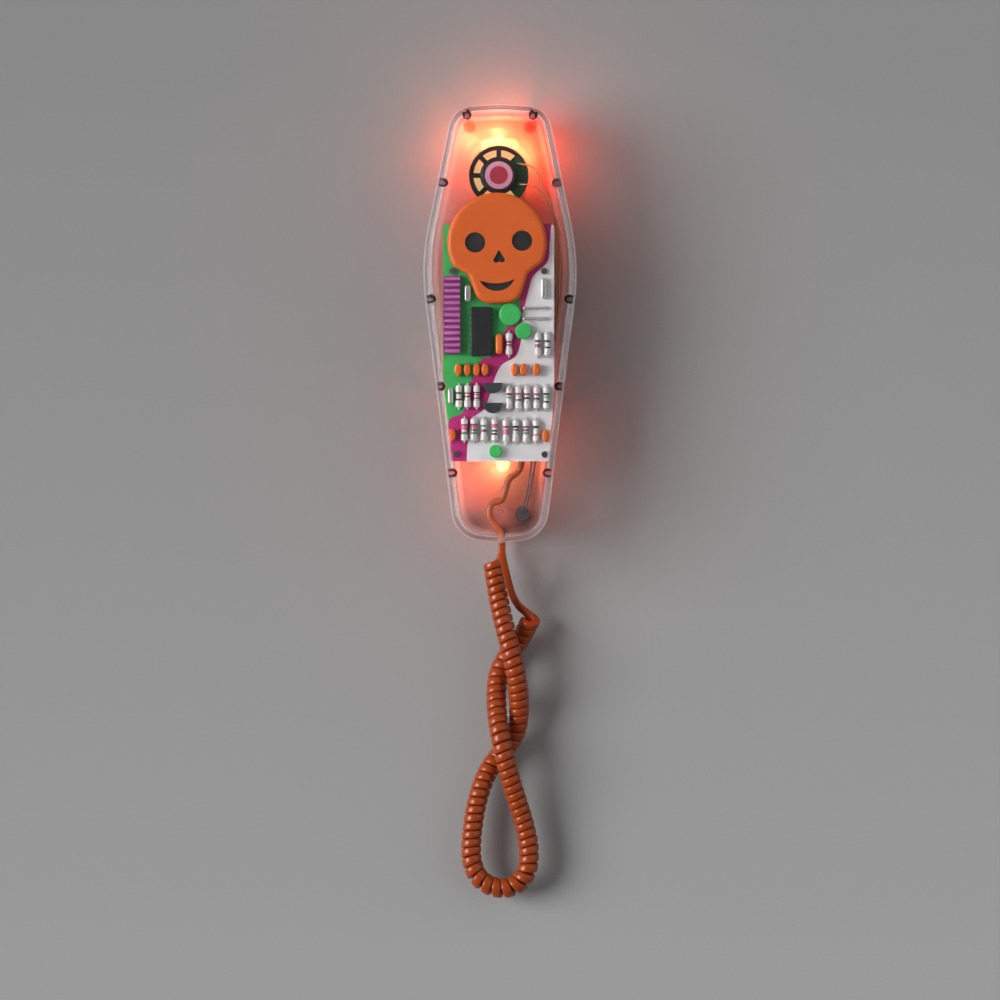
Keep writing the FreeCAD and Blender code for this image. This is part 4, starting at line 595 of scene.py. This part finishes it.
LEAD_STEP = 0.8


def route_points(route):
    """Points of a smooth curve drawn by the route, in the plan, in millimetres."""
    data = bpy.data.curves.new("cord_route", "CURVE")
    data.dimensions = "3D"
    data.resolution_u = ROUTE_STEPS
    spline = data.splines.new("NURBS")
    spline.points.add(len(route) - 1)
    for point, p in zip(spline.points, route):
        point.co = (*place(*p), 1.0)
    spline.order_u = 3
    spline.use_endpoint_u = True
    return [Vector((v.co.x, v.co.z, -v.co.y)) / MM for v in mesh_of_shape(data).vertices]


def coil_frames(axis):
    """Winding angle, point and cross directions along the axis; bends take fewer turns."""
    side = Vector((0, 0, 1))
    angle = 0.0
    before = None
    frames = []
    for i, p in enumerate(axis):
        along = (axis[min(i + 1, len(axis) - 1)] - axis[max(i - 1, 0)]).normalized()
        side = (side - along * side.dot(along)).normalized()
        if i:
            run = (p - axis[i - 1]).length
            bend = along.angle(before, 0.0) / run
            angle += 2 * math.pi * run * (1 - COIL_R * bend) / COIL_PITCH
        frames.append((angle, p, side.copy(), along.cross(side)))
        before = along
    return frames


def with_widths(rings):
    """Each ring with its half sizes; its width follows the room between the turns beside it."""
    sized = []
    for i, (p, out) in enumerate(rings):
        beside = [rings[k][0] for k in (i - RINGS_PER_TURN, i + RINGS_PER_TURN) if 0 <= k < len(rings)]
        room = sum((p - q).length for q in beside) / len(beside)
        sized.append((p, out, COIL_FLAT_HALF, min(max(WIDE_SHARE * room, WIDE_RANGE[0]), WIDE_RANGE[1])))
    return sized


def coil_rings():
    """Centre, outward direction and half sizes of the coil's rings, from its right side to its back."""
    frames = coil_frames(route_points(COIL_ROUTE))
    _, _, side, other = frames[-1]
    back = Vector((0, 0, -1))
    wanted = math.atan2(back.dot(other), back.dot(side)) - COIL_START
    total = wanted + 2 * math.pi * round((frames[-1][0] - wanted) / (2 * math.pi))
    scale = total / frames[-1][0]
    count = int(total / (2 * math.pi) * RINGS_PER_TURN)
    rings = []
    i = 0
    for k in range(count + 1):
        angle = total * k / count
        while i < len(frames) - 2 and frames[i + 1][0] * scale < angle:
            i += 1
        (a0, p0, s0, o0), (a1, p1, s1, o1) = frames[i], frames[i + 1]
        share = (angle / scale - a0) / (a1 - a0)
        p, side, other = p0.lerp(p1, share), s0.lerp(s1, share), o0.lerp(o1, share)
        turned = COIL_START + angle
        out = side * math.cos(turned) + other * math.sin(turned)
        rings.append((p + out * COIL_R, out.normalized()))
    return with_widths(rings)


def rounded(points):
    """Straight runs with a bend at each point, as close points."""
    points = [Vector(p) for p in points]
    line = [points[0]]
    for before, at, after in zip(points, points[1:], points[2:]):
        cut = BEND_SHARE * min((at - before).length, (after - at).length)
        a = at + (before - at).normalized() * cut
        b = at + (after - at).normalized() * cut
        for k in range(BEND_STEPS + 1):
            t = k / BEND_STEPS
            line.append(a * (1 - t) ** 2 + at * (2 * t * (1 - t)) + b * t * t)
    line.append(points[-1])
    dense = [line[0]]
    for p, q in zip(line, line[1:]):
        parts = max(1, round((q - p).length / LEAD_STEP))
        dense += [p.lerp(q, k / parts) for k in range(1, parts + 1)]
    return dense


def sides_along(line, first_side):
    """A side direction at each point, turned as little as possible along the line."""
    sides = []
    side = first_side
    for i in range(len(line)):
        along = (line[min(i + 1, len(line) - 1)] - line[max(i - 1, 0)]).normalized()
        side = (side - along * side.dot(along)).normalized()
        sides.append(side.copy())
    return sides


def lead_rings(line, sides, coil_end):
    """Rings of a lead, which swells to the section of the coil's end over its last few points."""
    rings = []
    for i, (p, side) in enumerate(zip(line, sides)):
        share = max(0.0, 1 - (len(line) - 1 - i) / SWELL_RINGS)
        thin_half = LEAD_FLAT_HALF + (coil_end[2] - LEAD_FLAT_HALF) * share
        wide_half = LEAD_WIDE_HALF + (coil_end[3] - LEAD_WIDE_HALF) * share
        rings.append((p, side, thin_half, wide_half))
    return rings


def cord_mesh(name, rings, look):
    """A flat-sided tube through rings of (centre, thin direction, half sizes); returns it and its path."""
    points, faces = [], []
    count = len(rings)
    for i, (p, thin, thin_half, wide_half) in enumerate(rings):
        along = (rings[min(i + 1, count - 1)][0] - rings[max(i - 1, 0)][0]).normalized()
        thin = (thin - along * thin.dot(along)).normalized()
        wide = along.cross(thin)
        for k in range(RING_SIDES):
            angle = 2 * math.pi * k / RING_SIDES
            c, s = math.cos(angle), math.sin(angle)
            c = math.copysign(abs(c) ** SECTION_POWER, c)
            s = math.copysign(abs(s) ** SECTION_POWER, s)
            q = p + thin * (thin_half * c) + wide * (wide_half * s)
            points.append(place(*q))
    for i in range(count - 1):
        for k in range(RING_SIDES):
            a, b = i * RING_SIDES + k, i * RING_SIDES + (k + 1) % RING_SIDES
            faces.append((a, b, b + RING_SIDES, a + RING_SIDES))
    faces.append(tuple(range(RING_SIDES)))
    faces.append(tuple(reversed(range((count - 1) * RING_SIDES, count * RING_SIDES))))
    return mesh_piece(name, points, faces, look, None), [place(*ring[0]) for ring in rings]


def add_cords():
    """The coil with its lead on the base, and the lead that runs up to the handset."""
    rings = coil_rings()
    first, last = rings[0], rings[-1]
    into = (rings[1][0] - first[0]).normalized()
    out = (last[0] - rings[-2][0]).normalized()
    turn = first[0] - into * ((1 + STUB_RUN) * CORD_D)
    end = last[0] + out * CORD_D
    straight = Vector((0, -LEAD_STRAIGHT, 0))
    base_exit, handset_exit = Vector(BASE_EXIT), Vector(HANDSET_EXIT)
    base_line = rounded([base_exit, base_exit + straight, turn, first[0]])
    base_sides = list(reversed(sides_along(list(reversed(base_line)), first[1])))
    base_rings = lead_rings(base_line, base_sides, first)[:-1]
    coil, coil_path = cord_mesh("coil_cord", base_rings + rings, cord_orange)
    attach(coil, "base")
    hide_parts("curly_cord", "base_lead")
    hand_line = rounded([last[0], end, end + out * (STUB_RUN * CORD_D)] + list(reversed(HANDSET_LEAD))
                        + [handset_exit + straight, handset_exit])
    hand_sides = sides_along(hand_line, last[1])
    hand_rings = lead_rings(list(reversed(hand_line)), list(reversed(hand_sides)), last)
    lead, lead_path = cord_mesh("handset_cord", hand_rings, cord_orange)
    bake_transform(lead)
    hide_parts("handset_lead")


add_cords()

# Wall, in metres: its colour fades between two heights, painted light that makes it paler towards its foot

WALL_SIZE = 3.0
WALL_GAP = 0.0006
WALL_TOP_PAINTED_LIGHT = 0.308
WALL_FOOT_PAINTED_LIGHT = 0.406
WALL_PAINTED_LIGHT_FADE = (-0.32, 0.14)


def add_wall():
    """A plain wall behind the phone with painted light that makes it paler at its foot, seen only from the
    front.
    """
    half = WALL_SIZE / 2
    points = [(x, WALL_GAP, z) for x, z in ((-half, -half), (half, -half), (half, half), (-half, half))]
    made = principled("wall", (WALL_TOP_PAINTED_LIGHT, WALL_TOP_PAINTED_LIGHT, WALL_TOP_PAINTED_LIGHT), 0.75)
    tree = made.node_tree
    shader = tree.nodes["Principled BSDF"]
    painted_shading_fade = map_range(tree, object_axis(tree, "Z"), *WALL_PAINTED_LIGHT_FADE, WALL_FOOT_PAINTED_LIGHT, WALL_TOP_PAINTED_LIGHT)
    grey = tree.nodes.new("ShaderNodeCombineColor")
    for channel in ("Red", "Green", "Blue"):
        tree.links.new(painted_shading_fade, grey.inputs[channel])
    tree.links.new(grey.outputs["Color"], shader.inputs["Base Color"])
    geometry = tree.nodes.new("ShaderNodeNewGeometry")
    through = plain_shader(tree, "Transparent", (1.0, 1.0, 1.0))
    whole = mix_shader(tree, geometry.outputs["Backfacing"], shader.outputs["BSDF"], through)
    tree.links.new(whole, tree.nodes["Material Output"].inputs["Surface"])
    wall = mesh_piece("wall", points, [(0, 1, 2, 3)], made)
    wall.visible_shadow = False


add_wall()

# Lights

FRAME_MIDDLE = (0.0, 0.0, -0.088)
DAYLIGHT = (1.0, 1.0, 1.0)
RED_GLOW = (1.0, 0.17, 0.062)
ROSE_GLOW = (1.0, 0.22, 0.115)
YELLOW_GLOW = (1.0, 0.62, 0.25)
PINK_GLOW = (1.0, 0.42, 0.32)
GLOW_SIZE = 0.003

# Daylight: name, place in metres, strength and width in degrees
SUNS = [
    ("key", (-1.6, -1.08, 0.1), 3.08, 36),
    ("fill", (0.3, -1.5, 1.2), 0.15, 50),
    ("right_fill", (1.6, -1.0, 0.2), 0.55, 60),
]

# Lamp light: name, place in the plan in millimetres, power in watts and colour
GLOWS = [
    ("upper_left_glow", (-8.0, 86.5, 11.6), 0.047, RED_GLOW),
    ("upper_right_glow", (11.0, 85.5, 11.6), 0.082, RED_GLOW),
    ("lower_glow", (-2.5, -60.0, 11.6), 0.105, ROSE_GLOW),
    ("upper_left_core", (-16.0, 94.0, 12.0), 0.019, YELLOW_GLOW),
    ("upper_right_core", (-1.0, 97.0, 12.0), 0.019, YELLOW_GLOW),
    ("lower_core", (0.0, -72.0, 12.0), 0.014, YELLOW_GLOW),
    ("upper_rim_glow", (0.0, 100.0, 36.0), 0.017, PINK_GLOW),
    ("lower_rim_glow", (0.0, -101.0, 45.0), 0.0025, PINK_GLOW),
]


def add_light(name, kind, where, energy, color):
    """A light. Lamp light isn't seen itself through the plastic, where it would show as small discs."""
    data = bpy.data.lights.new(name, kind)
    data.energy = energy
    data.color = color
    made = bpy.data.objects.new(name, data)
    scene.collection.objects.link(made)
    made.visible_transmission = kind == "SUN"
    made.visible_glossy = kind == "SUN"
    made.location = where
    return made


for name, where, strength, width in SUNS:
    sun = add_light(name, "SUN", where, strength, DAYLIGHT)
    sun.data.angle = math.radians(width)
    sun.rotation_mode = "QUATERNION"
    sun.rotation_quaternion = (Vector(FRAME_MIDDLE) - Vector(where)).to_track_quat("-Z", "Y")
for name, where, power, color in GLOWS:
    glow = add_light(name, "POINT", place(*where), power, color)
    glow.data.shadow_soft_size = GLOW_SIZE

ROOM_GREY = (0.80, 0.80, 0.80)
ROOM_STRENGTH = 0.115
world = bpy.data.worlds.new("room")
scene.world = world
world.use_nodes = True
background = world.node_tree.nodes["Background"]
background.inputs["Color"].default_value = (*ROOM_GREY, 1.0)
background.inputs["Strength"].default_value = ROOM_STRENGTH
scene.view_settings.view_transform = "Standard"

# Camera: the photograph's frame is half a metre wide at the handset's parting line, in metres

CAMERA_AWAY = 4.0
FRAME_WIDTH = 0.5
PARTING_LINE = 0.032
SENSOR_WIDTH = 36.0
camera_data = bpy.data.cameras.new("camera")
camera_data.sensor_width = SENSOR_WIDTH
camera_data.lens = SENSOR_WIDTH * CAMERA_AWAY / FRAME_WIDTH
camera = bpy.data.objects.new("camera", camera_data)
scene.collection.objects.link(camera)
camera.location = (FRAME_MIDDLE[0], -PARTING_LINE - CAMERA_AWAY, FRAME_MIDDLE[2])
camera.rotation_euler = (math.radians(90), 0, 0)
scene.camera = camera
